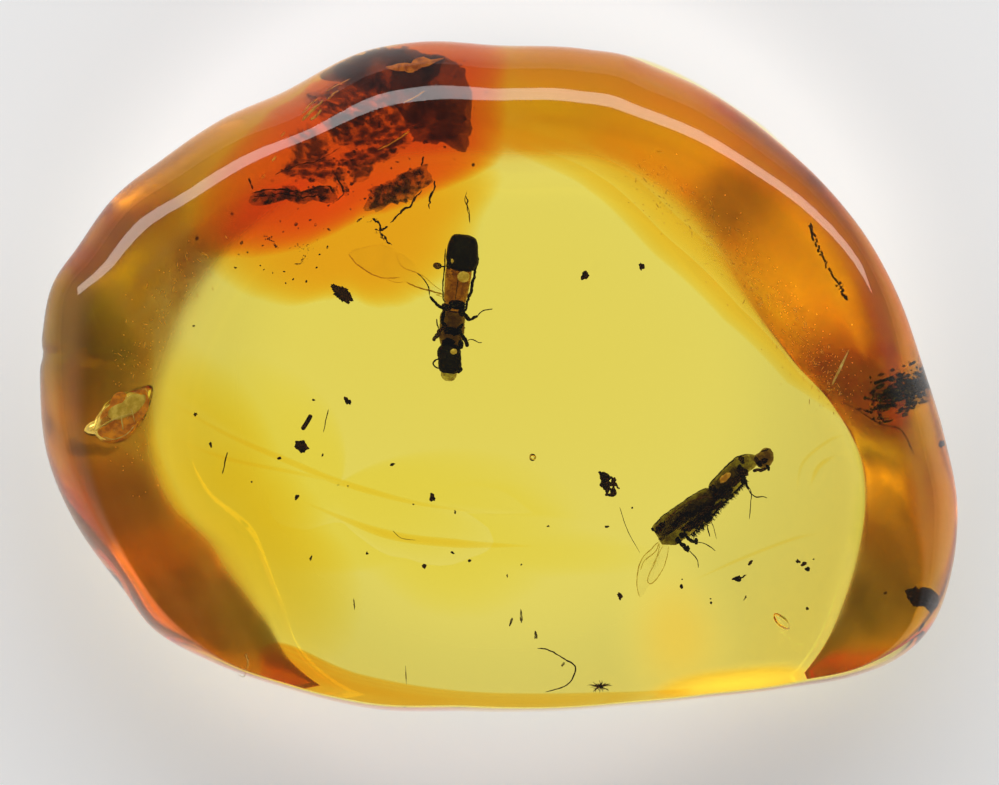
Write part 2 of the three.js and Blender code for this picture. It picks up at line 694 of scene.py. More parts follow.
@dataclass(frozen=True)
class Litter:
    """Forest litter: crumbly, uneven in colour, and thin enough in places to let light by."""

    name: str
    dark: Colour
    light: Colour
    cover_low: float = 1.0
    cover_high: float = 1.0
    patch: float = 0.3
    grain: Colour = (1, 1, 1)
    rough: float = 0.75
    rim_thin: float = 0.22

    def material(self) -> bpy.types.Material:
        """Two colours in patches of noise, with a crumbly bump.

        Returns:
            The material.
        """
        nodes = Nodes(self.name)
        patches = nodes.noise(self.patch, 6, self.grain)
        share = nodes.span(patches, 0.35, 0.65, 0.0, 1.0)
        if self.cover_low < 1:
            gaps = nodes.noise(self.patch * 1.6, 9, self.grain)
            thick = nodes.math("MULTIPLY_ADD", nodes.tone(), -self.rim_thin, gaps)
            nodes.set(Alpha=nodes.span(thick, 0.38, 0.58, self.cover_low, self.cover_high))
        fine = nodes.noise(self.patch / 2, detail=3)
        dull = nodes.span(fine, 0.3, 0.7, self.rough - 0.15, self.rough + 0.15)
        nodes.set(Base_Color=nodes.blend(share, self.dark, self.light), Roughness=dull)
        nodes.bump(nodes.noise(self.patch / 3, detail=4), 0.03)
        nodes.set(Specular_IOR_Level=0.15)
        return nodes.material


@dataclass(frozen=True)
class Glint:
    """A bright fleck: crack faces, air films, bubbles and dust painted with their reflections and
    glints, and pale fibres in their own colour.
    """

    name: str
    colour: Colour
    shade: Colour
    rough: float = 0.35
    cover: float = 1.0
    patch: float = 0.2

    def material(self) -> bpy.types.Material:
        """A satin surface of two near colours.

        Returns:
            The material.
        """
        nodes = Nodes(self.name)
        patches = nodes.noise(self.patch, detail=5)
        share = nodes.span(patches, 0.35, 0.65, 0.0, 1.0)
        colour = nodes.blend(share, self.shade, self.colour)
        cover = nodes.span(patches, 0.3, 0.7, 0.7 * self.cover, min(1.0, 1.15 * self.cover))
        rough = nodes.span(patches, 0.3, 0.7, self.rough + 0.1, self.rough - 0.1)
        nodes.set(Base_Color=colour, Alpha=cover, Roughness=rough)
        nodes.bump(nodes.noise(self.patch / 3, detail=3), 0.01)
        return nodes.material


Finish = AmberGlass | Haze | Air | Cuticle | SheerCuticle | Membrane | Litter | Glint
MATERIALS: dict[Finish, bpy.types.Material] = {}

CUTICLE = Cuticle()
BROWN_SHELL = SheerCuticle("brown_shell", (1.6, 2.8, 7.0))
DUSKY_SHELL = SheerCuticle("dusky_shell", (3.6, 4.5, 7.5))
OLIVE_SHELL = SheerCuticle("olive_shell", (2.6, 2.7, 5.5))
SOFT_FLESH = SheerCuticle("soft_flesh", (1.4, 1.55, 3.2))
WING_FILM = Membrane()
AIR = Air()
DARK_LITTER = Litter("dark_litter", (0.008, 0.004, 0.002), (0.05, 0.02, 0.006))
HUMUS = Litter("humus", (0.015, 0.008, 0.002), (0.09, 0.04, 0.012), 0.5, 0.85, 0.4)
BARK_FLAKE = Litter(
    "bark_flake", (0.012, 0.005, 0.001), (0.09, 0.03, 0.004), 0.12, 0.72, 0.18, (1.0, 1.8, 1.0)
)
WOOD_FIBRE = Litter("wood_fibre", (0.025, 0.014, 0.005), (0.15, 0.08, 0.03), 0.3, 0.92, 0.16)
MOSS = Litter("moss", (0.014, 0.014, 0.002), (0.08, 0.07, 0.01), 0.7, 0.95, 0.15)
PAINTED_CRACK_REFLECTION = Glint("painted_crack_reflection", (0.95, 0.42, 0.06), (0.7, 0.2, 0.015), 0.3)
DUST_PAINTED_GLINT = Glint("dust_with_painted_glints", (1.0, 0.62, 0.16), (0.8, 0.4, 0.06), 0.3)
PAINTED_PALE_REFLECTION = Glint("painted_pale_reflection", (0.95, 0.82, 0.4), (0.85, 0.66, 0.2), 0.25, 0.8)
PAINTED_GOLD_REFLECTION = Glint("painted_gold_reflection", (0.95, 0.62, 0.16), (0.8, 0.4, 0.06), 0.3, 0.9)
PALE_FIBRE = Glint("pale_fibre", (0.95, 0.85, 0.6), (0.8, 0.62, 0.3), 0.5)
HAIR = Litter("hair", (0.012, 0.006, 0.002), (0.06, 0.03, 0.008))
VEIN = Haze("wing_vein", (22.0, 32.0, 70.0))


def make(name: str, shapes: Iterable[Shape], finish: Finish) -> bpy.types.Object:
    """One object from one or more closed shapes, ridden on the body and dressed.

    Args:
        name: the piece's name.
        shapes: its surfaces, in millimetres.
        finish: what it is dressed in.

    Returns:
        The object, at the origin, its place in its mesh.
    """
    shapes = list(shapes)
    starts = np.cumsum([0] + [len(shape.points) for shape in shapes])
    faces: list[list[int]] = []
    for shape, start in zip(shapes, starts):
        faces += (shape.quads + start).tolist() + (shape.ends + start).tolist()
    mesh = bpy.data.meshes.new(name)
    points = np.concatenate([shape.points for shape in shapes]) * MM
    mesh.from_pydata(points.tolist(), [], faces)
    mesh.polygons.foreach_set("use_smooth", np.ones(len(faces), bool))
    tone = mesh.attributes.new("tone", "FLOAT", "POINT")
    tone.data.foreach_set("value", np.concatenate([shape.tone for shape in shapes]))
    mesh.update()
    if finish not in MATERIALS:
        MATERIALS[finish] = finish.material()
    mesh.materials.append(MATERIALS[finish])
    piece = bpy.data.objects.new(name, mesh)
    bpy.context.scene.collection.objects.link(piece)
    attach(piece, "root")
    LOG.info("%s: %d faces", name, len(faces))
    return piece


# --------------------------------------------------------------------------------------------
# The nugget
# --------------------------------------------------------------------------------------------


@dataclass
class AmberNugget:
    """The polished stone: flat back, back bevel, girdle, round front bevel and domed front."""

    girdle: Points2 = (
        (14.2, -3.9), (13.8, -1.8), (13.1, 0.4), (12.3, 2.6), (11.3, 4.4), (10.1, 5.9),
        (8.5, 7.4), (6.4, 8.9), (4.9, 9.6), (3.9, 10.0), (2.6, 10.2), (0.0, 10.3),
        (-2.5, 10.4), (-4.2, 10.1), (-6.6, 8.9), (-8.6, 8.0), (-10.4, 6.8), (-11.9, 5.6),
        (-13.0, 4.1), (-13.8, 2.9), (-14.1, 1.5), (-14.2, -0.3), (-14.0, -2.4), (-13.2, -4.4),
        (-11.7, -6.5), (-10.7, -7.8), (-9.0, -8.8), (-6.6, -9.7), (-4.1, -10.3), (-0.9, -10.4),
        (3.1, -10.3), (6.2, -10.0), (8.8, -9.7), (11.0, -9.3), (12.4, -8.7), (13.4, -7.7),
        (14.0, -6.1),
    )  # fmt: skip
    back_face: Points2 = (
        (10.8, -3.6), (10.6, -2.1), (9.8, -0.7), (8.5, 0.65), (7.1, 2.1), (5.85, 3.4),
        (4.6, 4.8), (2.6, 5.8), (0.2, 5.8), (-3.2, 5.8), (-6.1, 4.6), (-8.0, 2.9),
        (-8.9, 1.4), (-9.6, -0.3), (-9.8, -2.0), (-9.2, -3.6), (-7.8, -5.0), (-7.1, -6.6),
        (-6.4, -8.3), (-4.6, -9.6), (-1.0, -10.0), (3.1, -9.95), (6.2, -9.7), (8.8, -9.2),
        (9.7, -8.2), (10.4, -6.3),
    )  # fmt: skip
    front_face: Points2 = (
        (12.2, -3.4), (11.6, -0.5), (10.0, 3.0), (7.2, 5.9), (3.8, 7.5), (-0.5, 7.9),
        (-4.4, 7.4), (-8.0, 5.6), (-11.0, 2.9), (-12.3, -0.3), (-12.1, -3.6), (-10.7, -6.6),
        (-8.6, -8.6), (-6.4, -9.45), (-4.0, -10.0), (-0.9, -10.1), (3.1, -10.05), (6.2, -9.75),
        (9.2, -9.35), (11.3, -8.8), (12.6, -7.6), (12.9, -5.8),
    )  # fmt: skip
    girdle_lowest: float = 0.9
    girdle_climb: float = 0.85
    front_height: float = 6.7
    front_rise: float = 0.055
    front_fall: float = 0.03
    front_dome: float = 0.9
    back_rounding: float = 1.08
    front_rounding: float = 1.8
    crease_crisp: float = 0.2
    crease_soft: float = 0.8
    crease_side: float = 125.0
    sides: int = 440
    back_rings: int = 48
    front_rings: int = 44
    face_rings: int = 30
    polish_waves: float = 0.014
    notch_depth: float = 0.12
    notch_angle: float = 3.09
    notch_wide: float = 0.018
    notch_middle: float = 4.2
    notch_tall: float = 1.6
    frost: float = 0.24
    rubbed: float = 0.04
    face_span: Span = (0.02, 0.98)
    crease_turn: Span = (-0.6, 0.0)
    skin_back: Span = (0.45, 1.0)
    skin_front: Span = (0.2, 0.95)
    wave_back: Span = (0.0, 0.3)
    wave_front: Span = (0.4, 1.0)
    wave_face: float = 0.25
    finish: AmberGlass = field(default_factory=AmberGlass)

    def bevel(self, power: float, rings: int) -> tuple[np.ndarray, np.ndarray]:
        """A superellipse quarter from the girdle to the flat, in steps of equal length.

        The way in is 1 less the cosine, and the way along is the sine, each to the power
        2 over the rounding.

        Args:
            power: the rounding: 1 is a flat chamfer and 2 an ellipse.
            rings: how many steps.

        Returns:
            The way in and the way along, each from 0 to 1.
        """
        turn = np.linspace(0, pi / 2, 4000)
        inward = 1 - np.clip(np.cos(turn), 0, 1) ** (2 / power)
        along = np.sin(turn) ** (2 / power)
        steps = np.hypot(np.diff(inward), np.diff(along))
        length = np.concatenate([[0], np.cumsum(steps)])
        even = np.linspace(0, length[-1], rings + 1)
        return np.interp(even, length, inward), np.interp(even, length, along)

    def rounded(self, lift: np.ndarray, crease: np.ndarray) -> np.ndarray:
        """A fold turned into a curve: half the sum of lift and the root of lift and crease squared."""
        return (lift + np.sqrt(lift**2 + crease**2)) / 2

    def rings(self) -> tuple[np.ndarray, np.ndarray]:
        """The stone as rings of points from the middle of the back to the crown.

        Returns:
            The grid of points and how weathered each ring is, from 0 to 1.
        """
        turn = np.linspace(0, TURN, self.sides, endpoint=False)
        girdle, back, front = (
            radius_of(outline, turn) for outline in (self.girdle, self.back_face, self.front_face)
        )
        waist = self.girdle_lowest + self.girdle_climb * (girdle - back)
        lean = self.front_rise * np.sin(turn) - self.front_fall * np.cos(turn)
        top = self.front_height + front * lean
        flat = np.linspace(*self.face_span, self.face_rings)[:, None]
        inward, along = (way[::-1, None] for way in self.bevel(self.back_rounding, self.back_rings))
        radius = [back * flat, girdle + (back - girdle) * inward]
        slope = waist / (girdle - back)
        side = smooth_step(np.cos(turn - radians(self.crease_side)), *self.crease_turn)
        crease = self.crease_crisp + (self.crease_soft - self.crease_crisp) * side
        height = [self.rounded(-slope * back * (1 - flat), crease)]
        height.append(self.rounded(waist * (1 - along), crease))
        waist = self.rounded(waist, crease)
        inward, along = (way[1:, None] for way in self.bevel(self.front_rounding, self.front_rings))
        radius.append(girdle + (front - girdle) * inward)
        height.append(waist + (top - waist) * along)
        share = flat[::-1]
        radius.append(front * share)
        height.append(self.front_height + front * share * lean + self.front_dome * (1 - share**2))
        r, z = np.concatenate(radius), np.concatenate(height)
        round_it = ((turn - self.notch_angle) / self.notch_wide) ** 2
        notch = np.exp(-round_it - ((z - self.notch_middle) / self.notch_tall) ** 2)
        r = r - self.notch_depth * notch
        grid = np.stack([r * np.cos(turn), r * np.sin(turn), z], -1)
        back_way = np.linspace(0, 1, self.back_rings + 1)
        front_way = np.linspace(0, 1, self.front_rings + 1)[1:]
        skin = np.concatenate(
            [
                np.zeros(self.face_rings),
                smooth_step(back_way, *self.skin_back),
                1 - smooth_step(front_way, *self.skin_front),
                np.zeros(self.face_rings),
            ]
        )
        return grid, skin

    def polished(self, grid: np.ndarray) -> np.ndarray:
        """The grid with the slow waves of hand polishing.

        Each point moves along the surface's normal, the cross product of the grid's two
        directions, by smooth noise. The flat back stays flat, and the front's face moves little.

        Args:
            grid: the stone's rings.

        Returns:
            The moved grid.
        """
        down = np.gradient(grid, axis=0)
        round_it = np.roll(grid, -1, axis=1) - np.roll(grid, 1, axis=1)
        normal = np.cross(round_it, down)
        normal /= np.maximum(np.linalg.norm(normal, axis=-1, keepdims=True), 1e-12)
        front_way = np.linspace(0, 1, self.front_rings)
        share = np.concatenate(
            [
                np.zeros(self.face_rings),
                smooth_step(np.linspace(0, 1, self.back_rings + 1), *self.wave_back),
                1 - (1 - self.wave_face) * smooth_step(front_way, *self.wave_front),
                np.full(self.face_rings, self.wave_face),
            ]
        )
        waves = ripple(grid, 5, waves=0.13, octaves=2) * self.polish_waves
        return grid + normal * (waves * share[:, None])[..., None]

    def uneven(self, grid: np.ndarray, seed: int, waves: float, octaves: int) -> np.ndarray:
        """Smooth noise from 0.7 to 1 at each point of the grid."""
        return 0.85 + 0.15 * ripple(grid, seed, waves, octaves)

    def build(self) -> bpy.types.Object:
        """Makes the stone, which stands for the CAD node, and centres it as the CAD does.

        Returns:
            The stone.
        """
        grid, skin = self.rings()
        middle = (grid[..., :2].reshape(-1, 2).min(0) + grid[..., :2].reshape(-1, 2).max(0)) / 2
        grid = self.polished(grid)
        grid[..., :2] -= middle
        # The bevels are tinted deeper orange towards the girdle.
        rim_tint_share = skin[:, None] * self.uneven(grid, 61, waves=0.16, octaves=4)
        stone = make("amber_body", [closed(grid, rim_tint_share)], self.finish)
        ring = np.arange(len(grid)) - self.face_rings
        outer = smooth_step(ring, self.back_rings - 6, self.back_rings)
        bevel = smooth_step(ring, 0, 4) * (1 - outer)
        frost = self.frost * bevel[:, None] * self.uneven(grid, 62, waves=0.6, octaves=3)
        rubs = ripple(grid * (0.4, 1, 1), 63, waves=0.5, octaves=4)
        frost += self.rubbed * smooth_step(rubs, 0.5, 0.9)
        rough = stone.data.attributes.new("frost", "FLOAT", "POINT")
        rough.data.foreach_set("value", np.append(frost.reshape(-1), (0.0, 0.0)))
        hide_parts("amber_nugget")
        return stone


@dataclass
class AmberClouds:
    """The red and orange clouds, the brown rims, the warm side, the painted olive reflections at the
    sides and the flow layers.
    """

    height: float = 4.5
    flow_height: float = 2.8

    def lens(
        self, outline: Points2, thick: float, height: float, seed: int, taper: float = 3.0
    ) -> Shape:
        """A cloud at a height above the back, thinning smoothly to its rim.

        Args:
            outline: the points of its edge.
            thick: its thickness at the middle.
            height: its middle plane's height.
            seed: picks the noise that moves its edge a little.
            taper: how flat its middle is, as for a flake.

        Returns:
            The shape.
        """
        cloud = flake(outline, thick, jag=0.035, seed=seed, taper=taper, fine=96, steps=14, soft=1.2)
        return cloud.moved(Place(0, 0, height))

    def soft_tube(self, path: Points3, widths: Sequence[float], flat: float) -> list[Shape]:
        """Three tubes inside one another, so that the cloud fades outward.

        Args:
            path: their middle line.
            widths: the widest one's widths.
            flat: their depth against their width.

        Returns:
            The three shapes.
        """
        return [
            tube(path, [share * width for width in widths], count=60, sides=24, flat=flat)
            for share in (1, 0.75, 0.5)
        ]

    def cloud(self, name: str, shapes: Iterable[Shape], absorbed: Colour) -> None:
        """Makes one piece of cloud, filled with absorption."""
        make(name, shapes, Haze(name, absorbed))

    def red_cloud(self) -> None:
        """The deep red cloud that holds the litter."""
        outline = (
            (0.2, 9.8), (0.3, 8.3), (0.15, 6.7), (-0.9, 6.0), (-1.9, 5.6), (-3.1, 5.1),
            (-4.2, 4.8), (-5.1, 4.3), (-6.6, 3.8), (-8.2, 3.6), (-9.3, 3.7), (-9.6, 4.5),
            (-8.8, 5.8), (-7.4, 7.1), (-5.9, 8.2), (-4.3, 9.2), (-2.8, 9.8), (-1.2, 9.9),
        )  # fmt: skip
        cloud = self.lens(outline, thick=2.6, height=self.height, seed=11, taper=5.0)
        self.cloud("red_cloud", [cloud], (0.04, 0.7, 2.6))

    def orange_cloud(self) -> None:
        """The paler orange that shows below and beside the red."""
        outline = (
            (0.1, 6.3), (-0.3, 5.2), (-0.8, 4.1), (-1.9, 2.8), (-3.0, 2.2), (-3.7, 2.1),
            (-4.6, 2.4), (-5.4, 2.3), (-6.5, 2.2), (-7.6, 2.4), (-8.5, 2.9), (-9.1, 3.6),
            (-8.4, 5.0), (-5.3, 6.2), (-2.5, 6.6),
        )  # fmt: skip
        cloud = self.lens(outline, thick=1.8, height=self.height - 1.2, seed=12, taper=4.0)
        self.cloud("orange_cloud", [cloud], (0.0, 0.34, 1.8))

    def rims(self) -> None:
        """Brown haze along the right, left and lower rims: tubes that fade outward."""
        right = ((-0.6, 8.5, 4.6), (3.5, 7.8, 4.6), (6.4, 5.8, 4.5), (8.8, 3.4, 4.4),
                 (10.5, 0.8, 4.2), (11.7, -1.8, 4.0))  # fmt: skip
        left = ((-10.2, 3.4, 4.4), (-11.6, 0.9, 4.4), (-11.6, -2.2, 4.3), (-10.4, -4.9, 4.2),
                (-8.9, -7.0, 3.8))  # fmt: skip
        shapes = self.soft_tube(right, (3.0, 4.6, 5.4, 5.2, 4.0, 1.0), 0.26)
        shapes += self.soft_tube(left, (0.6, 2.2, 2.4, 2.4, 0.6), 0.26)
        self.cloud("rim_haze", shapes, (0.02, 0.36, 2.0))
        lower = ((-7.4, -8.3, 3.0), (-4.6, -9.3, 3.0), (-1.0, -9.8, 3.0), (3.5, -9.75, 3.0),
                 (7.2, -9.4, 3.0))  # fmt: skip
        line = self.soft_tube(lower, (1.5, 0.9, 0.7, 0.55, 0.2), 1.6)
        self.cloud("lower_rim_haze", line, (0.02, 0.5, 2.2))

    def warm_side(self) -> None:
        """The warmer yellow of the window's left side."""
        left = ((-11.3, 1.2), (-8.8, 0.8), (-6.8, -1.8), (-5.2, -4.2), (-4.2, -6.2), (-4.8, -8.4),
                (-7.8, -8.6), (-10.2, -6.4), (-11.6, -3.0))  # fmt: skip
        cloud = self.lens(left, thick=3.0, height=2.6, seed=24, taper=2.0)
        self.cloud("warm_side", [cloud], (0.0, 0.07, 0.6))

    def olive_painted_reflections(self) -> None:
        """Painted reflections: an olive cast low in the right band and high in the left one, standing
        in for dark surroundings seen in the bevels.
        """
        right = ((10.6, -0.4), (12.6, -1.0), (13.3, -3.2), (13.3, -5.6), (12.4, -7.8),
                 (11.0, -8.2), (10.7, -5.6), (10.9, -3.0))  # fmt: skip
        left = ((-13.4, 0.0), (-13.1, 2.2), (-12.1, 2.8), (-11.2, 1.8), (-11.3, 0.0),
                (-12.2, -1.0))  # fmt: skip
        clouds = [
            self.lens(right, thick=0.7, height=3.6, seed=25, taper=2.0),
            self.lens(left, thick=2.2, height=3.8, seed=26, taper=2.0),
        ]
        self.cloud("olive_painted_reflections", clouds, (0.26, 0.16, 1.0))

    def flow_layers(self) -> None:
        """Thin wedges where one flow of resin met the next, and the lines along their edges."""
        layers = [
            self.lens(((-10.8, -0.2), (-8.4, -1.5), (-4.8, -3.0), (-0.5, -3.9), (3.0, -4.3),
                       (0.0, -4.8), (-4.8, -4.4), (-8.4, -3.8), (-10.2, -2.8)),
                      thick=0.8, height=2.6, seed=21),
            self.lens(((-9.0, -4.2), (-3.0, -3.8), (2.5, -4.4), (5.2, -5.4), (1.5, -6.0),
                       (-4.0, -5.8), (-7.4, -5.6)), thick=0.8, height=2.2, seed=22),
        ]  # fmt: skip
        self.cloud("flow_layers", layers, (0.0, 0.045, 0.7))
        paths = (
            (0.22, ((-10.7, -0.3), (-8.4, -1.6), (-6.2, -2.55), (-4.8, -3.1), (-2.5, -3.7),
                    (0, -4.05))),
            (0.14, ((-10.4, -1.6), (-8.4, -2.35), (-6.2, -2.8), (-4.6, -3.15))),
            (0.3, ((-6.2, -3.6), (-3.6, -4.6), (-1.4, -4.9), (1.2, -5.0))),
            (0.12, ((5.6, -6.2), (7.2, -5.5), (8.9, -4.9), (10.0, -4.7))),
            (0.12, ((9.0, -3.6), (9.2, -2.6), (10.0, -1.9), (10.6, -1.7))),
            (0.16, ((9.4, -3.4), (9.7, -2.7), (10.3, -2.3))),
        )  # fmt: skip
        lines = [
            tube(
                [(x, y, self.flow_height) for x, y in path],
                (0.1 * width, width, width, 0.1 * width),
                count=60,
                sides=10,
                flat=0.5,
            )
            for width, path in paths
        ]
        self.cloud("flow_lines", lines, (0.05, 1.2, 8.0))

    def build(self) -> None:
        """Makes every cloud."""
        self.red_cloud()
        self.orange_cloud()
        self.rims()
        self.warm_side()
        self.olive_painted_reflections()
        self.flow_layers()


# --------------------------------------------------------------------------------------------
# The beetles
# --------------------------------------------------------------------------------------------


@dataclass
class Limb:
    """A leg segment, feeler, vein or margin: a path in the beetle's own frame and its widths."""

    path: Points3
    widths: Sequence[float]
    tone: float = 0.0
    rough: float = 0.0

    def shape(self) -> Shape:
        """The tube along the path."""
        rings = 10 * len(self.path)
        return tube(self.path, self.widths, count=rings, tone=self.tone, rough=self.rough)


@dataclass
class Trunk:
    """A part of the body: its name, its finish and its stations.

    A station is a place along the beetle, the middle, the half width and the half depth.
    """

    name: str
    finish: Finish
    stations: Sequence[Sequence[float]]
    square: float = 2.3
    rough: float = 0.05
    count: int = 80
    sides: int = 64

    def shape(self) -> Shape:
        """The lofted part, its sections dented by noise.

        Returns:
            The shape, along the beetle's own X.
        """
        body = loft(self.stations, self.count, self.sides, self.square)
        rings = body.points[:-2].reshape(self.count, self.sides, 3)
        middle = rings.mean(1, keepdims=True)
        dents = self.rough * ripple(rings, len(self.name), waves=1.1, octaves=4)[..., None]
        body.points[:-2] = (middle + (rings - middle) * (1 + dents)).reshape(-1, 3)
        return body


@dataclass
class Lump:
    """A joint, a ragged bit or a bubble: a place in the beetle's frame, three widths and a turn."""

    x: float
    y: float
    z: float
    size: tuple[float, float, float]
    turn: float = 0.0
    tone: float = 0.0
    rough: float = 0.3

    def shape(self, seed: int) -> Shape:
        """The lump, roughened from a seed.

        Args:
            seed: picks the noise.

        Returns:
            The shape, in the beetle's frame.
        """
        lump = ball(self.size, self.rough, seed).moved(Place(self.x, self.y, self.z, self.turn))
        lump.tone[:] = self.tone
        return lump


@dataclass
class Fringe:
    """A row of fine hairs along a line, their angles and lengths drawn from a seed."""

    line: Points3
    count: int
    length: float
    seed: int
    widths: tuple[float, float, float] = (0.05, 0.022, 0.008)

    def shapes(self) -> list[Shape]:
        """The hairs, each a thin tube that starts on the line and points away to its right.

        Returns:
            One shape for each hair.
        """
        draw = np.random.default_rng(self.seed)
        hairs = []
        for root in through(self.line, self.count):
            lean, rise = draw.uniform(-0.9, 0.9, 2)
            reach = self.length * draw.uniform(0.4, 1.0)
            tip = root + reach * np.array((np.sin(lean), -np.cos(lean), 0.5 * np.sin(rise)))
            middle = (root + tip) / 2 + 0.02 * rise
            hairs.append(tube((root, middle, tip), self.widths, count=6, sides=5))
        return hairs


@dataclass
class Borer:
    """An ambrosia beetle. X runs from its tail to its head and Y to its left, in its own frame."""

    name: str
    place: Place
    trunks: Sequence[Trunk]
    legs: Sequence[Limb]
    trims: Sequence[Limb]
    lumps: Sequence[Lump]
    wing_outlines: Sequence[Points2]
    veins: Sequence[Limb]
    wing_height: float
    pale_bubbles: Sequence[Lump]
    bubble_reflection_paint: Finish
    fringe: Fringe
    wing_thick: float = 0.012
    wing_gap: float = 0.05

    def add(self, part: str, shapes: Iterable[Shape], finish: Finish, slot: Slot) -> None:
        """Makes one piece of the beetle, moved to its place in the stone."""
        make(f"{self.name}_{part}", [shape.moved(self.place) for shape in shapes], finish)

    def build(self) -> None:
        """Makes the trunk, the limbs, the wings and the bubbles that cling to them, the bubbles painted
        with their reflections.
        """
        for trunk in self.trunks:
            self.add(trunk.name, [trunk.shape()], trunk.finish, Slot.CHITIN)
        self.add("legs", [leg.shape() for leg in self.legs], CUTICLE, Slot.CHITIN)
        trims = [trim.shape() for trim in self.trims]
        lumps = [lump.shape(40 + i) for i, lump in enumerate(self.lumps)]
        self.add("margins_and_joints", trims + lumps, CUTICLE, Slot.CHITIN)
        self.add("bristles", self.fringe.shapes(), CUTICLE, Slot.CHITIN)
        films = [
            flake(outline, self.wing_thick, bow=0.05, taper=8.0, fine=96, steps=8).moved(
                Place(0, 0, self.wing_height - self.wing_gap * i)
            )
            for i, outline in enumerate(self.wing_outlines)
        ]
        self.add("wings", films, WING_FILM, Slot.WING)
        self.add("wing_veins", [vein.shape() for vein in self.veins], VEIN, Slot.WING)
        # Painted reflections: the bubbles are satin flecks, pale or golden, standing in for light they
        # reflect.
        bubbles = [bubble.shape(70 + i) for i, bubble in enumerate(self.pale_bubbles)]
        self.add("pale_bubbles", bubbles, self.bubble_reflection_paint, Slot.AIR)


def flat_limb(
    points: Points2,
    width: float,
    z: float = 0.0,
    lift: float = 0.0,
    tone: float = 0.0,
    rough: float = 0.25,
) -> Limb:
    """A limb from points in the plane.

    Args:
        points: its middle line.
        width: its greatest width.
        z: the height of its near end.
        lift: how much higher its far end is.
        tone: its tone.
        rough: how rough it is, as for a tube.

    Returns:
        The limb, a little thinner at both ends.
    """
    rise = np.linspace(0, lift, len(points))
    path = [(x, y, z + up) for (x, y), up in zip(points, rise)]
    return Limb(path, (0.9 * width, width, 0.75 * width), tone, rough)


def limbs(*rows: Sequence[Points2 | float]) -> list[Limb]:
    """Limbs from rows of flat_limb's arguments."""
    return [flat_limb(*row) for row in rows]


def lumps(*rows: Sequence[Span | float]) -> list[Lump]:
    """Lumps from rows of their fields."""
    return [Lump(*row) for row in rows]


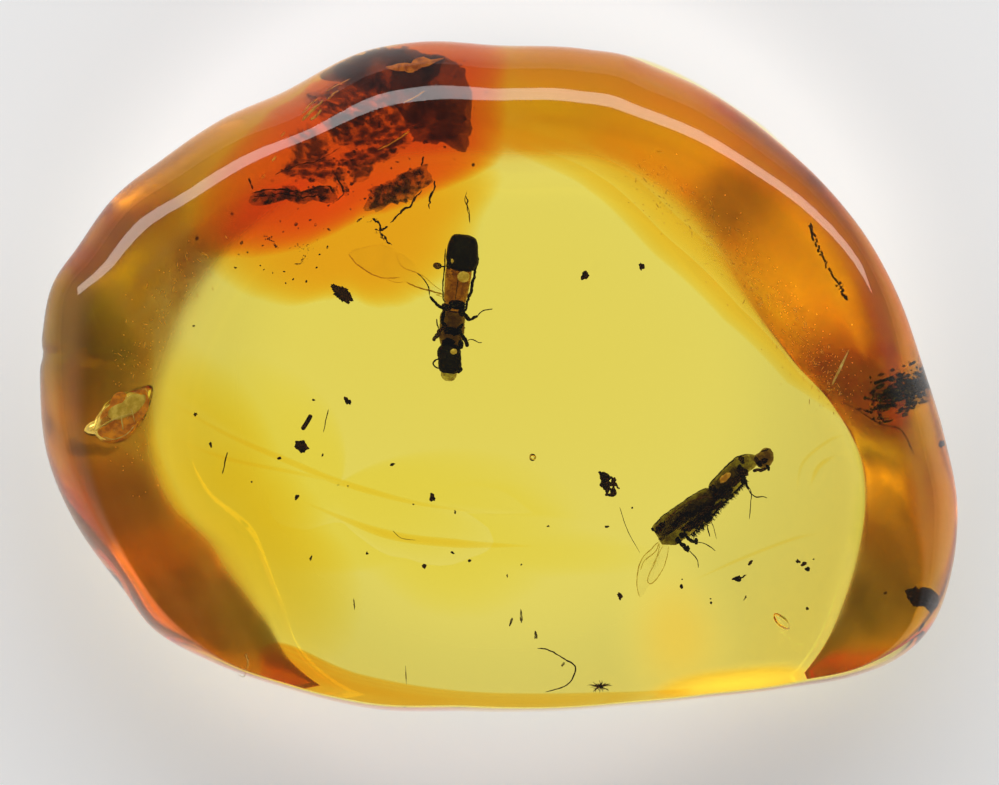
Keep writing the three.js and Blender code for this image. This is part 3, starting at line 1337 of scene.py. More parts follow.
def upper_borer() -> Borer:
    """The upper beetle: underside to the front, head down, one wing spread to its right.

    Returns:
        The beetle, ready to build.
    """
    elytra = ((1.0, 0.0, 0.38, 0.36), (1.2, -0.02, 0.4, 0.4), (1.6, -0.03, 0.38, 0.4),
              (2.05, -0.05, 0.33, 0.38), (2.3, -0.05, 0.28, 0.33), (2.42, -0.04, 0.2, 0.2))  # fmt: skip
    tips = ((0.06, 0.0, 0.16, 0.1), (0.09, 0.0, 0.28, 0.2), (0.17, 0.03, 0.38, 0.32),
            (0.33, 0.04, 0.44, 0.4), (0.6, 0.04, 0.48, 0.43), (0.9, 0.04, 0.47, 0.42),
            (1.08, 0.07, 0.38, 0.36), (1.16, 0.08, 0.22, 0.25))  # fmt: skip
    chest = ((2.36, -0.07, 0.26, 0.26), (2.5, -0.07, 0.36, 0.35), (2.88, -0.05, 0.385, 0.38),
             (3.19, -0.065, 0.36, 0.36), (3.36, -0.06, 0.31, 0.31),
             (3.44, -0.06, 0.26, 0.26))  # fmt: skip
    head = ((3.36, -0.07, 0.2, 0.2), (3.45, -0.07, 0.29, 0.28), (3.6, -0.08, 0.35, 0.34),
            (3.81, -0.06, 0.36, 0.36), (4.03, -0.03, 0.34, 0.33), (4.17, -0.04, 0.27, 0.27),
            (4.24, -0.04, 0.18, 0.18))  # fmt: skip
    mouth = ((4.1, -0.02, 0.2, 0.2), (4.25, -0.01, 0.24, 0.2), (4.4, -0.01, 0.19, 0.16),
             (4.47, -0.01, 0.1, 0.08))  # fmt: skip
    wing = ((1.81, -0.5), (1.72, -1.28), (1.62, -1.61), (1.62, -2.1), (1.57, -2.44),
            (1.42, -2.87), (1.22, -3.2), (0.98, -3.41), (0.82, -3.24), (0.72, -2.73),
            (0.62, -2.22), (0.8, -1.9), (1.3, -1.2), (1.6, -0.8))  # fmt: skip
    return Borer(
        "upper_borer",
        Place(-1.14, 4.41, 4.5, -95.6),
        [
            Trunk("elytra", BROWN_SHELL, elytra, 2.6, 0.03),
            Trunk("elytra_tips", CUTICLE, tips, 3.0, 0.05),
            Trunk("chest", DUSKY_SHELL, chest, 2.4, 0.08),
            Trunk("head", CUTICLE, head, 2.2, 0.12),
            Trunk("mouthparts", OLIVE_SHELL, mouth, 2.2, 0.1),
        ],
        limbs(
            (((2.23, -0.27), (2.27, -0.5), (2.17, -0.64), (1.99, -0.82)), 0.11, 0.3, 0.2),
            (((1.98, -0.83), (1.75, -0.87), (1.6, -0.97), (1.43, -1.13), (1.34, -1.27)),
             0.035, 0.5, 0.1),
            (((2.34, 0.2), (2.53, 0.38), (2.55, 0.51), (2.45, 0.68)), 0.11, 0.3, 0.2),
            (((2.45, 0.68), (2.29, 0.8), (2.23, 0.95), (2.19, 1.12)), 0.035, 0.5, 0.1),
            (((2.8, -0.24), (3.03, -0.43), (3.19, -0.54), (3.29, -0.6)), 0.13, 0.3, 0.1, 0.35),
            (((2.94, -0.45), (2.82, -0.51), (2.65, -0.55)), 0.04, 0.35, 0.1),
            (((2.87, 0.15), (3.09, 0.3), (3.26, 0.4), (3.4, 0.46)), 0.13, 0.3, 0.1),
            (((3.21, 0.47), (3.16, 0.54), (3.17, 0.65), (3.24, 0.79), (3.23, 0.89)), 0.03, 0.4, 0.1),
        ),
        [
            *limbs(
                (((0.54, -0.49), (1.0, -0.46), (1.26, -0.46), (1.68, -0.45), (2.04, -0.4),
                  (2.13, -0.31)), 0.045, 0.1),
                (((0.6, 0.51), (1.17, 0.47), (1.7, 0.4), (2.36, 0.28)), 0.1, 0.05),
                (((1.15, 0.0), (1.6, -0.02), (2.1, -0.04)), 0.025, 0.4),
                (((1.07, -0.44), (1.08, -0.58)), 0.05, 0.1),
                (((3.84, -0.34), (3.88, -0.47), (3.98, -0.52), (4.08, -0.46), (4.12, -0.34)),
                 0.055, 0.1),
            ),  # fmt: skip
            Limb(
                ((-1.24, -0.01, 0.3), (-0.96, -0.04, 0.3), (-0.69, 0.11, 0.3), (-0.32, 0.18, 0.3)),
                (0.012, 0.025, 0.02, 0.01),
            ),
        ],
        lumps(
            (1.07, -0.68, 0.1, (0.28, 0.2, 0.2), 85, 0.5, 0.1),
            (2.17, 0.02, 0.12, (0.24, 0.6, 0.5)),
            (2.28, -0.3, 0.2, (0.2, 0.3, 0.25), 0, 0.3),
            (2.36, 0.2, 0.2, (0.25, 0.22, 0.25)),
            (2.55, -0.36, 0.0, (0.42, 0.12, 0.3)),
            (2.97, -0.09, 0.1, (0.2, 0.42, 0.4), 0, 0.0, 0.5),
            (2.84, -0.26, 0.15, (0.34, 0.14, 0.3), 40),
            (2.9, 0.14, 0.15, (0.4, 0.12, 0.3), -35),
            (3.33, 0.25, 0.05, (0.3, 0.16, 0.3)),
            (3.32, -0.12, -0.05, (0.3, 0.4, 0.3), 0, 0.2),
            (4.1, 0.27, 0.0, (0.22, 0.2, 0.2)),
            (0.98, -0.3, 0.0, (0.3, 0.22, 0.3), 0, 0.6),
            (3.72, -0.36, 0.05, (0.2, 0.14, 0.2)),
        ),
        [wing],
        limbs(
            (((1.81, -0.45), (1.62, -0.78), (1.45, -1.0), (1.34, -1.27), (1.19, -1.75),
              (0.79, -1.97)), 0.03, -0.1),
            (((1.91, -0.42), (1.84, -0.75), (1.77, -1.23), (1.64, -1.6)), 0.055, -0.1),
            (((1.98, -0.42), (1.93, -0.64), (1.92, -0.52)), 0.03, -0.1),
            (((0.98, -3.41), (1.24, -3.15), (1.43, -2.82), (1.57, -2.44), (1.58, -2.08),
              (1.52, -1.77)), 0.04, -0.1),
            (((1.62, -2.18), (1.68, -1.91), (1.64, -1.6)), 0.025, -0.1),
            (((0.7, -2.1), (0.62, -2.5), (0.8, -3.1), (0.98, -3.41)), 0.015, -0.1),
        ),
        -0.1,
        lumps(
            (1.32, 0.14, 0.42, (0.34, 0.37, 0.05), 0, 0, 0.05),
            (3.58, 0.07, 0.36, (0.16, 0.22, 0.05), 20, 0, 0.15),
            (0.88, -0.25, 0.43, (0.12, 0.08, 0.03)),
        ),
        PAINTED_PALE_REFLECTION,
        Fringe(((2.5, 0.3, 0.1), (3.0, 0.36, 0.1), (3.4, 0.3, 0.1)), 4, 0.1, 3),
    )


def lower_borer() -> Borer:
    """The lower beetle: seen from its right side, head up, its wings trailing from the tail.

    Returns:
        The beetle, ready to build.
    """
    elytra = ((-0.06, 0.02, 0.2, 0.2), (-0.02, 0.03, 0.27, 0.3), (0.15, 0.06, 0.3, 0.36),
              (0.44, 0.11, 0.29, 0.4), (0.96, 0.12, 0.28, 0.42), (1.47, 0.13, 0.27, 0.42),
              (1.9, 0.12, 0.24, 0.38), (2.02, 0.11, 0.17, 0.3))  # fmt: skip
    core = ((0.0, 0.06, 0.1, 0.2), (0.1, 0.08, 0.17, 0.28), (0.5, 0.03, 0.2, 0.32),
            (1.0, -0.02, 0.24, 0.34), (1.5, 0.0, 0.25, 0.34), (2.1, 0.04, 0.2, 0.3),
            (2.3, 0.1, 0.2, 0.28), (2.9, 0.19, 0.2, 0.26), (3.1, 0.22, 0.1, 0.14))  # fmt: skip
    belly = ((-0.08, -0.22, 0.1, 0.2), (0.2, -0.34, 0.2, 0.33), (0.5, -0.38, 0.22, 0.35),
             (0.8, -0.36, 0.24, 0.35), (1.3, -0.3, 0.27, 0.36), (1.9, -0.19, 0.24, 0.34),
             (2.4, -0.1, 0.22, 0.3), (2.9, -0.02, 0.22, 0.24), (3.12, 0.04, 0.1, 0.12))  # fmt: skip
    chest = ((1.98, 0.1, 0.16, 0.26), (2.1, 0.11, 0.28, 0.34), (2.5, 0.18, 0.31, 0.36),
             (3.0, 0.28, 0.3, 0.35), (3.28, 0.29, 0.29, 0.32), (3.46, 0.27, 0.26, 0.28),
             (3.6, 0.24, 0.21, 0.24), (3.74, 0.16, 0.16, 0.2))  # fmt: skip
    head = ((3.6, 0.1, 0.14, 0.2), (3.72, 0.07, 0.24, 0.27), (3.9, 0.06, 0.26, 0.3),
            (4.08, 0.11, 0.24, 0.27), (4.18, 0.15, 0.15, 0.2), (4.23, 0.16, 0.08, 0.1))  # fmt: skip
    left_lobe = ((-0.1, -0.19), (-0.47, -0.26), (-0.82, -0.34), (-1.17, -0.62), (-1.42, -0.96),
                 (-1.54, -1.3), (-1.15, -1.16), (-0.7, -0.85), (-0.3, -0.5))  # fmt: skip
    right_lobe = ((0.07, -0.47), (-0.2, -0.76), (-0.58, -1.02), (-0.98, -1.14), (-1.06, -1.02),
                  (-0.91, -0.86), (-0.6, -0.69), (-0.33, -0.48), (-0.11, -0.25))  # fmt: skip
    return Borer(
        "lower_borer",
        Place(4.86, -4.7, 4.2, 33.7),
        [
            Trunk("elytra", OLIVE_SHELL, elytra, 2.6, 0.05),
            Trunk("flesh", SOFT_FLESH, core, 2.2, 0.3),
            Trunk("belly", OLIVE_SHELL, belly, 2.2, 0.4),
            Trunk("chest", OLIVE_SHELL, chest, 2.3, 0.08),
            Trunk("head", DUSKY_SHELL, head, 2.2, 0.14),
        ],
        limbs(
            (((3.01, -0.04), (3.03, -0.24), (2.99, -0.44)), 0.1, 0.3, 0.1),
            (((2.99, -0.44), (3.0, -0.61), (3.08, -0.78), (3.24, -0.87), (3.33, -0.98)), 0.035, 0.4),
            (((3.0, -0.15), (3.01, -0.52), (2.83, -0.78), (2.53, -1.19)), 0.028, -0.3),
            (((1.52, -0.33), (1.38, -0.62), (1.25, -0.96)), 0.035, 0.3),
            (((1.6, -0.33), (1.55, -0.52), (1.5, -0.77), (1.39, -1.12)), 0.022, -0.3, 0.0, 0.5),
            (((0.69, -0.54), (0.71, -0.72), (0.86, -0.88)), 0.11, 0.3, 0.1),
            (((0.85, -0.88), (1.0, -1.03), (1.11, -1.25), (1.16, -1.43)), 0.028, 0.4),
            (((0.39, -0.55), (0.43, -0.72), (0.5, -0.91)), 0.13, 0.2, 0.1),
            (((0.5, -0.89), (0.55, -1.12), (0.56, -1.35), (0.46, -1.56)), 0.03, 0.3),
            (((1.11, -0.38), (1.09, -0.48), (1.07, -0.57)), 0.05, 0.3),
        ),
        limbs(
            (((0.1, 0.3), (0.44, 0.38), (0.96, 0.39), (1.47, 0.39), (1.95, 0.34)), 0.05, 0.0),
            (((2.1, 0.37), (2.51, 0.47), (3.01, 0.56), (3.28, 0.57), (3.5, 0.5)), 0.06, 0.0),
            (((0.36, 0.22), (1.07, 0.28), (1.69, 0.17), (1.94, -0.02)), 0.05, 0.42, 0.0, 0.9),
            (((3.85, -0.12), (3.84, -0.22), (3.8, -0.32)), 0.1, 0.0),
            (((3.4, -0.06), (3.6, -0.15), (3.8, -0.22)), 0.12, 0.0, 0.0, 0.3),
        ),
        lumps(
            (-0.06, 0.2, 0.1, (0.1, 0.14, 0.2), 0, 0.0, 0.5),
            (0.16, 0.12, 0.1, (0.3, 0.2, 0.2), 20, 0.6, 0.6),
            (0.8, 0.0, 0.2, (0.5, 0.16, 0.2), 10, 0.7, 0.7),
            (0.86, -0.34, 0.2, (0.36, 0.24, 0.3), 0, 0.3, 0.6),
            (0.62, -0.46, 0.2, (0.18, 0.2, 0.2), 0, 0.1, 0.5),
            (0.4, -0.5, 0.2, (0.14, 0.16, 0.2), 0, 0.1, 0.5),
            (1.35, -0.26, 0.2, (0.36, 0.2, 0.3), 15, 0.4, 0.7),
            (1.75, -0.22, 0.2, (0.36, 0.18, 0.3), 10, 0.4, 0.7),
            (2.15, -0.04, 0.2, (0.3, 0.22, 0.3), 0, 0.2, 0.6),
            (2.1, 0.22, 0.2, (0.16, 0.24, 0.3), 10, 0.2, 0.6),
            (2.75, 0.0, 0.2, (0.44, 0.18, 0.3), 10, 0.3, 0.7),
            (3.12, 0.12, 0.1, (0.24, 0.3, 0.3), 0, 0.4, 0.6),
            (3.3, 0.4, 0.1, (0.14, 0.22, 0.3), 0, 0.5, 0.5),
            (3.86, 0.02, 0.1, (0.26, 0.16, 0.3), 0, 0.5, 0.6),
            (3.68, 0.02, 0.0, (0.16, 0.2, 0.3), 0, 0.3, 0.5),
            (4.05, 0.28, 0.0, (0.24, 0.05, 0.2), -20, 0.1),
            (3.02, -0.1, 0.2, (0.2, 0.18, 0.2), 0, 0.0, 0.5),
            (0.5, -0.86, 0.2, (0.2, 0.13, 0.13), 70, 0.0, 0.5),
            (0.84, -0.84, 0.2, (0.18, 0.11, 0.11), 60, 0.0, 0.5),
            (1.15, -0.44, 0.2, (0.3, 0.2, 0.3), 10, 0.2, 0.7),
            (1.55, -0.4, 0.2, (0.34, 0.2, 0.3), 15, 0.1, 0.7),
            (2.0, -0.32, 0.2, (0.34, 0.18, 0.3), 15, 0.2, 0.7),
            (2.4, -0.2, 0.2, (0.36, 0.2, 0.3), 15, 0.1, 0.7),
        ),
        [left_lobe, right_lobe],
        limbs(
            (left_lobe[:6], 0.036, -0.05),
            (right_lobe, 0.032, -0.1),
            (((-0.13, -0.23), (-0.37, -0.39), (-0.78, -0.43), (-1.05, -0.6)), 0.036, -0.05),
            (((-0.05, -0.35), (-0.4, -0.55), (-0.75, -0.72)), 0.026, -0.1),
        ),
        -0.05,
        [Lump(2.6, 0.26, 0.36, (0.42, 0.2, 0.05), 6, 0, 0.2)],
        PAINTED_GOLD_REFLECTION,
        Fringe(((0.8, -0.56, 0.2), (1.3, -0.52, 0.25), (1.9, -0.38, 0.25), (2.5, -0.26, 0.2),
                (3.1, -0.14, 0.2)), 170, 0.22, 4),  # fmt: skip
    )


# --------------------------------------------------------------------------------------------
# Litter, specks and cracks
# --------------------------------------------------------------------------------------------


@dataclass
class Scrap:
    """A flat piece of litter: its outline, height, thickness and lean."""

    outline: Points2
    z: float
    thick: float = 0.12
    roll: float = 0.0
    jag: float = 0.16

    def shape(self, seed: int) -> Shape:
        """The flake, bowed and jagged from a seed, and leaned about its own middle.

        Args:
            seed: picks the noise.

        Returns:
            The shape, in the stone's frame.
        """
        middle = np.mean(self.outline, axis=0)
        outline = [(x - middle[0], y - middle[1]) for x, y in self.outline]
        scrap = flake(outline, self.thick, self.jag, seed, bow=0.1, taper=6.0, fine=200, steps=10)
        return scrap.moved(Place(middle[0], middle[1], self.z, 0.0, self.roll, self.roll / 2))


@dataclass
class LitterCloud:
    """The knot of bark, leaf and wood that lies in the red cloud, and the crumbs round it."""

    dark: Sequence[Scrap] = (
        Scrap(((-3.3, 9.0), (-2.5, 9.3), (-1.7, 9.4), (-1.3, 9.1), (-0.9, 7.8), (-1.1, 6.9),
               (-1.8, 7.1), (-2.6, 7.2), (-3.0, 7.9)), 4.6, 0.4, 6, 0.08),
        Scrap(((-5.0, 8.6), (-4.5, 9.1), (-3.9, 9.3), (-3.1, 9.4), (-2.2, 9.3), (-1.7, 9.2),
               (-2.1, 8.7), (-3.0, 8.4), (-4.0, 8.4)), 4.2, 0.3, -10),
    )  # fmt: skip
    bark: Sequence[Scrap] = (
        Scrap(((-6.74, 6.25), (-6.51, 6.6), (-5.35, 7.38), (-5.23, 6.87), (-4.96, 6.45),
               (-4.96, 6.14), (-5.89, 6.02), (-6.59, 6.14)), 5.0, 0.14, 12),
        Scrap(((-4.92, 6.76), (-4.34, 6.91), (-3.72, 7.07), (-2.95, 7.3), (-3.18, 6.76),
               (-3.8, 6.53), (-3.95, 6.14), (-4.5, 5.94), (-4.57, 6.29), (-4.84, 6.49)), 5.1, 0.14, -8),
        Scrap(((-5.58, 8.15), (-4.5, 8.7), (-2.95, 8.54), (-2.71, 7.22), (-3.72, 6.99),
               (-4.96, 7.15), (-5.35, 7.61)), 4.7, 0.2, 5),
        Scrap(((-5.27, 7.57), (-4.96, 7.84), (-4.5, 7.92), (-3.95, 7.96), (-4.34, 7.53),
               (-4.8, 7.38), (-5.15, 7.3)), 5.2, 0.1, 15),
        Scrap(((-5.1, 6.14), (-4.88, 6.45), (-4.77, 5.98), (-4.63, 5.58), (-4.92, 5.83)), 5.3, 0.08, 0),
    )  # fmt: skip
    crumbly: Sequence[Scrap] = (
        Scrap(((-5.2, 2.78), (-4.92, 2.8), (-4.6, 2.6), (-4.5, 2.38), (-4.62, 2.28), (-4.87, 2.38),
               (-5.08, 2.6)), 4.5, 0.2, 8, 0.2),
    )  # fmt: skip
    heaps: Sequence[Heap] = (
        (-5.98, 3.96, 0.16, -8), (-6.0, 3.62, 0.1, 60), (-7.08, 4.24, 0.09, -35),
        (-6.85, 4.0, 0.05, -40), (-3.62, 4.3, 0.13, -55), (-3.88, 4.76, 0.09, 10),
        (-6.16, 3.46, 0.06, 10), (-4.28, 4.8, 0.06, 40),
    )  # fmt: skip
    wood: Sequence[Scrap] = (
        Scrap(((-4.15, 5.13), (-4.03, 5.52), (-3.33, 5.98), (-2.79, 6.29), (-2.33, 6.41),
               (-2.09, 6.06), (-2.48, 5.67), (-3.33, 5.32), (-3.8, 5.01)), 5.2, 0.18, -6),
        Scrap(((-7.56, 5.63), (-6.82, 5.73), (-6.04, 5.67), (-5.35, 5.83), (-4.96, 5.75),
               (-5.27, 5.29), (-5.74, 5.42), (-6.51, 5.42), (-7.29, 5.22)), 5.1, 0.1, 10),
    )  # fmt: skip
    # Painted reflection: these scraps' bright orange stands in for light reflected in a crack.
    gold: Sequence[Scrap] = (
        Scrap(((-3.45, 9.3), (-3.2, 9.36), (-2.7, 9.42), (-2.1, 9.52), (-1.75, 9.6), (-2.0, 9.42),
               (-2.4, 9.26), (-2.9, 9.14), (-3.25, 9.2)), 5.4, 0.06, 0, 0.08),
    )  # fmt: skip
    threads: Sequence[tuple[float, Points2]] = (
        (0.07, ((-3.88, 4.88), (-3.72, 4.67), (-3.63, 4.36), (-3.5, 4.25), (-3.33, 4.06))),
        (0.05, ((-3.33, 4.73), (-3.02, 5.05), (-2.75, 5.25), (-2.63, 5.44), (-2.4, 5.7))),
        (0.05, ((-2.0, 6.0), (-2.05, 5.7), (-2.17, 5.42), (-2.17, 5.12))),
        (0.04, ((-2.42, 6.45), (-2.38, 6.58), (-2.34, 6.75))),
        (0.05, ((-7.7, 6.05), (-7.66, 5.9), (-7.56, 5.77))),
        (0.05, ((-7.56, 5.63), (-6.82, 5.75), (-6.04, 5.66), (-5.35, 5.85), (-5.0, 5.6))),
        (0.04, ((-7.5, 5.5), (-6.7, 5.6), (-6.0, 5.5), (-5.3, 5.6))),
        (0.03, ((-6.9, 6.2), (-6.3, 6.45), (-5.6, 6.6), (-4.9, 7.0))),
        (0.04, ((-5.1, 6.3), (-4.9, 6.0), (-4.8, 5.6), (-5.1, 5.3))),
        (0.05, ((-3.8, 4.55), (-3.6, 4.5), (-3.4, 4.6))),
        (0.03, ((-1.05, 5.52), (-0.99, 5.36), (-1.01, 5.21), (-0.93, 4.7))),
    )
    scratches: Sequence[tuple[float, Points2]] = (
        (0.035, ((-2.91, 8.31), (-2.6, 8.45), (-2.29, 8.62))),
        (0.04, ((-3.72, 6.94), (-3.25, 7.18), (-2.75, 7.53))),
        (0.03, ((-5.23, 8.6), (-4.88, 8.8), (-4.5, 9.0))),
        (0.09, ((-5.95, 7.62), (-5.75, 7.85), (-5.5, 8.1), (-5.3, 8.3))),
        (0.07, ((-5.7, 7.65), (-5.5, 7.8), (-5.35, 8.0))),
        (0.06, ((-5.95, 7.85), (-5.75, 8.1), (-5.5, 8.35))),
        (0.05, ((-5.15, 8.3), (-5.0, 8.5), (-4.85, 8.6))),
        (0.04, ((-6.61, 7.16), (-6.5, 7.28))),
        (0.04, ((-6.95, 6.55), (-6.8, 6.68))),
        (0.03, ((-7.3, 6.1), (-7.2, 6.22))),
        (0.05, ((-9.14, 3.81), (-9.0, 3.75), (-8.91, 3.66))),
    )
    bits: Sequence[tuple[float, float, float]] = (
        (-5.5, 3.75, 0.07), (-5.91, 2.94, 0.08), (-6.54, 2.88, 0.06), (-7.25, 4.01, 0.06),
        (-7.71, 3.81, 0.06), (-7.98, 3.74, 0.05), (-7.21, 3.29, 0.05), (-6.94, 3.19, 0.05),
        (-6.59, 3.23, 0.06), (-6.32, 3.0, 0.07), (-7.32, 3.41, 0.05), (-5.6, 3.35, 0.07),
    )  # fmt: skip
    heap_crumbs: int = 26
    heap_shape: tuple[float, float, float] = (1.0, 0.35, 0.3)
    heap_sizes: Span = (0.012, 0.05)
    crumb_count: int = 170
    crumb_middle: Span = (-4.2, 6.6)
    crumb_spread: Span = (1.6, 0.8)
    crumb_slope: float = 0.45
    crumb_sizes: Span = (0.03, 0.13)
    crumb_heights: Span = (4.4, 5.5)
    depth: float = 4.8

    def heap(self, row: Heap, seed: int) -> list[Shape]:
        """A loose heap of crumbs.

        Args:
            row: its place, its half length and its heading in degrees.
            seed: picks where the crumbs lie and how large they are.

        Returns:
            One shape for each crumb.
        """
        draw = np.random.default_rng(seed)
        x, y, long, heading = row
        offsets = draw.normal(0, 1, (self.heap_crumbs, 3)) * [share * long for share in self.heap_shape]
        sizes = draw.uniform(*self.heap_sizes, self.heap_crumbs)
        place = Place(x, y, self.depth, heading)
        return [
            ball((size, 0.7 * size, 0.6 * size), rough=0.6, seed=seed + i, fine=6)
            .moved(Place(*offset))
            .moved(place)
            for i, (size, offset) in enumerate(zip(sizes, offsets))
        ]

    def crumbs(self) -> list[Shape]:
        """Fine crumbs, thickest near the middle of the knot and strung out along its slope.

        Returns:
            One shape for each crumb.
        """
        draw = np.random.default_rng(8)
        shapes = []
        middle, spread = self.crumb_middle, self.crumb_spread
        for i in range(self.crumb_count):
            along, across = draw.normal(0, 1, 2)
            x = middle[0] + spread[0] * along
            y = middle[1] + self.crumb_slope * spread[0] * along + spread[1] * across
            size = draw.uniform(*self.crumb_sizes)
            shape = ball((size, size * draw.uniform(0.5, 1), size * 0.6), rough=0.5, seed=i, fine=8)
            place = Place(x, y, draw.uniform(*self.crumb_heights), draw.uniform(0, 180))
            shapes.append(shape.moved(place))
        return shapes

    def build(self) -> None:
        """Makes the scraps, threads, scratches, bits, heaps and crumbs."""
        for part, scraps, finish in (
            ("dark_scraps", self.dark, HUMUS),
            ("bark_scraps", self.bark, BARK_FLAKE),
            ("crumbly_scraps", self.crumbly, DARK_LITTER),
            ("wood_scraps", self.wood, WOOD_FIBRE),
            ("orange_scraps", self.gold, PAINTED_CRACK_REFLECTION),
        ):
            make(part, [scrap.shape(90 + i) for i, scrap in enumerate(scraps)], finish)
        threads = [
            flat_limb(path, width, 5.3, rough=0.8).shape() for width, path in self.threads
        ]
        make("litter_threads", threads, HAIR)
        # The scratches' golden colour is painted glint.
        scratches = [flat_limb(path, width, 5.6).shape() for width, path in self.scratches]
        make("scratches_with_painted_glints", scratches, DUST_PAINTED_GLINT)
        bits = [
            ball((size, 0.65 * size, 0.5 * size), rough=0.55, seed=20 + i, fine=10).moved(
                Place(x, y, self.depth, 67 * i)
            )
            for i, (x, y, size) in enumerate(self.bits)
        ]
        make("litter_bits", bits, DARK_LITTER)
        heaps = [shape for i, row in enumerate(self.heaps) for shape in self.heap(row, 500 + i)]
        make("litter_heaps", heaps, BARK_FLAKE)
        make("litter_crumbs", self.crumbs(), BARK_FLAKE)


@dataclass
class Specks:
    """The crumbs, splinters, hairs and dust scattered through the clear amber.

    A grain's row is its place, its length and width, and its heading in degrees.
    """

    grains: Sequence[Grain] = (
        (2.57, 3.13, 0.26, 0.2, 20), (4.31, 3.41, 0.24, 0.17, 80), (-4.65, -0.64, 0.27, 0.15, 120),
        (-6.08, -2.05, 0.38, 0.36, 0), (-6.74, -2.4, 0.12, 0.09, 0), (-6.23, -3.6, 0.18, 0.11, 60),
        (-2.08, -3.6, 0.22, 0.19, 90), (-1.4, -4.0, 0.1, 0.06, 80), (-1.46, -5.3, 0.16, 0.06, -35),
        (-0.96, -5.49, 0.11, 0.1, 0), (-2.33, -5.7, 0.14, 0.11, -20), (-4.09, -5.27, 0.1, 0.08, 40),
        (-3.29, -2.57, 0.14, 0.1, 20), (-5.43, -2.3, 0.11, 0.05, 70), (-2.67, -3.75, 0.06, 0.05, 0),
        (-5.7, -0.64, 0.09, 0.07, 0), (3.29, -4.5, 0.13, 0.1, 30), (1.48, -4.48, 0.08, 0.05, 0),
        (0.22, -6.01, 0.11, 0.04, 100), (0.65, -5.64, 0.07, 0.05, 0), (3.69, -6.63, 0.22, 0.14, 110),
        (5.59, -6.3, 0.12, 0.11, 0), (5.6, -6.08, 0.05, 0.05, 0), (6.5, -6.85, 0.1, 0.06, 70),
        (6.48, -6.7, 0.06, 0.04, 0), (7.32, -6.08, 0.26, 0.16, 15), (7.5, -6.03, 0.16, 0.06, 30),
        (7.68, -5.62, 0.18, 0.1, 40), (9.16, -5.6, 0.14, 0.12, 0), (9.33, -5.69, 0.15, 0.12, 30),
        (9.42, -5.82, 0.15, 0.12, 0), (9.62, -5.54, 0.06, 0.05, 0), (9.46, -7.04, 0.12, 0.07, 90),
        (13.0, -2.2, 0.34, 0.2, 15), (12.87, -7.56, 0.28, 0.2, 60), (11.84, -6.6, 0.1, 0.08, 0),
        (12.62, -6.73, 0.08, 0.07, 0), (-8.84, -2.0, 0.15, 0.1, 100), (-9.35, 1.6, 0.07, 0.06, 0),
        (-4.66, -3.2, 0.05, 0.04, 0), (4.06, -3.9, 0.07, 0.06, 0), (-7.6, -3.1, 0.06, 0.05, 0),
    )  # fmt: skip
    faint: Sequence[Grain] = (
        (0.65, -7.25, 0.44, 0.08, 92), (0.33, -7.37, 0.26, 0.07, 75), (1.1, -7.85, 0.24, 0.1, 90),
        (-5.8, -5.42, 0.16, 0.07, 80), (-4.48, -6.85, 0.3, 0.05, 95), (7.55, -6.7, 0.16, 0.06, 60),
        (-9.3, -1.05, 0.12, 0.1, 0), (-2.9, -9.05, 0.5, 0.03, 92), (1.95, -8.72, 0.14, 0.1, 60),
    )  # fmt: skip
    large: tuple[float, float, float] = (12.8, -6.7, 4.2)
    hairs: Sequence[tuple[float, float, Points2]] = (
        (0.045, 5.6, ((1.15, -8.26), (1.5, -8.33), (1.98, -8.6), (2.33, -8.88), (2.15, -9.35),
                      (1.85, -9.52), (1.4, -9.65))),
        (0.04, 5.0, ((-8.34, -2.23), (-8.4, -2.5), (-8.49, -2.88))),
        (0.02, 5.0, ((3.67, -3.9), (3.92, -4.6), (4.3, -5.3))),
        (0.02, 5.0, ((-3.3, -4.6), (-3.1, -4.8), (-2.95, -4.86), (-2.6, -4.9))),
        (0.03, 4.6, ((-5.25, -0.9), (-5.4, -1.6))),
        (0.04, 4.6, ((0.9, -2.36), (0.94, -2.28), (1.03, -2.28), (1.08, -2.36), (1.03, -2.44),
                     (0.94, -2.44), (0.9, -2.36))),
    )  # fmt: skip
    rod: Points2 = ((-6.05, -1.53), (-5.9, -1.3), (-5.77, -1.07))
    splinter: Points2 = ((10.7, 0.87), (10.45, 0.35), (10.17, -0.22))
    grain_line: Points2 = ((9.4, 4.6), (9.55, 4.28), (9.92, 3.6), (10.32, 2.94), (10.6, 2.42))
    fibre: Points2 = ((-7.81, -8.43), (-7.74, -8.75), (-7.82, -8.95), (-7.87, -9.21), (-8.05, -9.15))
    tuft_root: tuple[float, float, float] = (3.05, -9.35, 3.6)
    grain_heights: Span = (3.4, 5.4)
    moss_count: int = 520
    moss_middle: Span = (12.05, -0.45)
    moss_spread: Span = (0.36, 0.3)
    moss_slope: float = 0.2
    moss_sizes: Span = (0.03, 0.11)
    moss_heights: Span = (2.9, 4.3)
    tuft_threads: int = 60
    tuft_reach: Span = (0.1, 0.42)
    tuft_bend: float = 0.04
    dust_bands: Sequence[Points2] = (
        ((4.3, 6.2), (6.4, 4.6), (8.2, 2.6), (9.6, 0.8), (10.4, -0.6)),
        ((-9.0, 3.6), (-10.2, 2.4), (-11.0, 1.2), (-11.4, -0.2), (-10.9, -3.2)),
    )
    dust_count: int = 700
    dust_spread: float = 0.42
    dust_heights: Span = (5.6, 6.2)
    bead_count: int = 60
    bead_sizes: Span = (0.03, 0.14)

    def grain(self, row: Grain, seed: int) -> Shape:
        """One crumb from its row, at a height drawn from its seed.

        Args:
            row: as above.
            seed: picks its height and its noise.

        Returns:
            The crumb.
        """
        x, y, long, wide, heading = row
        height = np.random.default_rng(seed).uniform(*self.grain_heights)
        lump = ball((0.85 * long, 0.85 * wide, 0.7 * wide), rough=0.75, seed=seed, fine=12)
        return lump.moved(Place(x, y, height, heading))

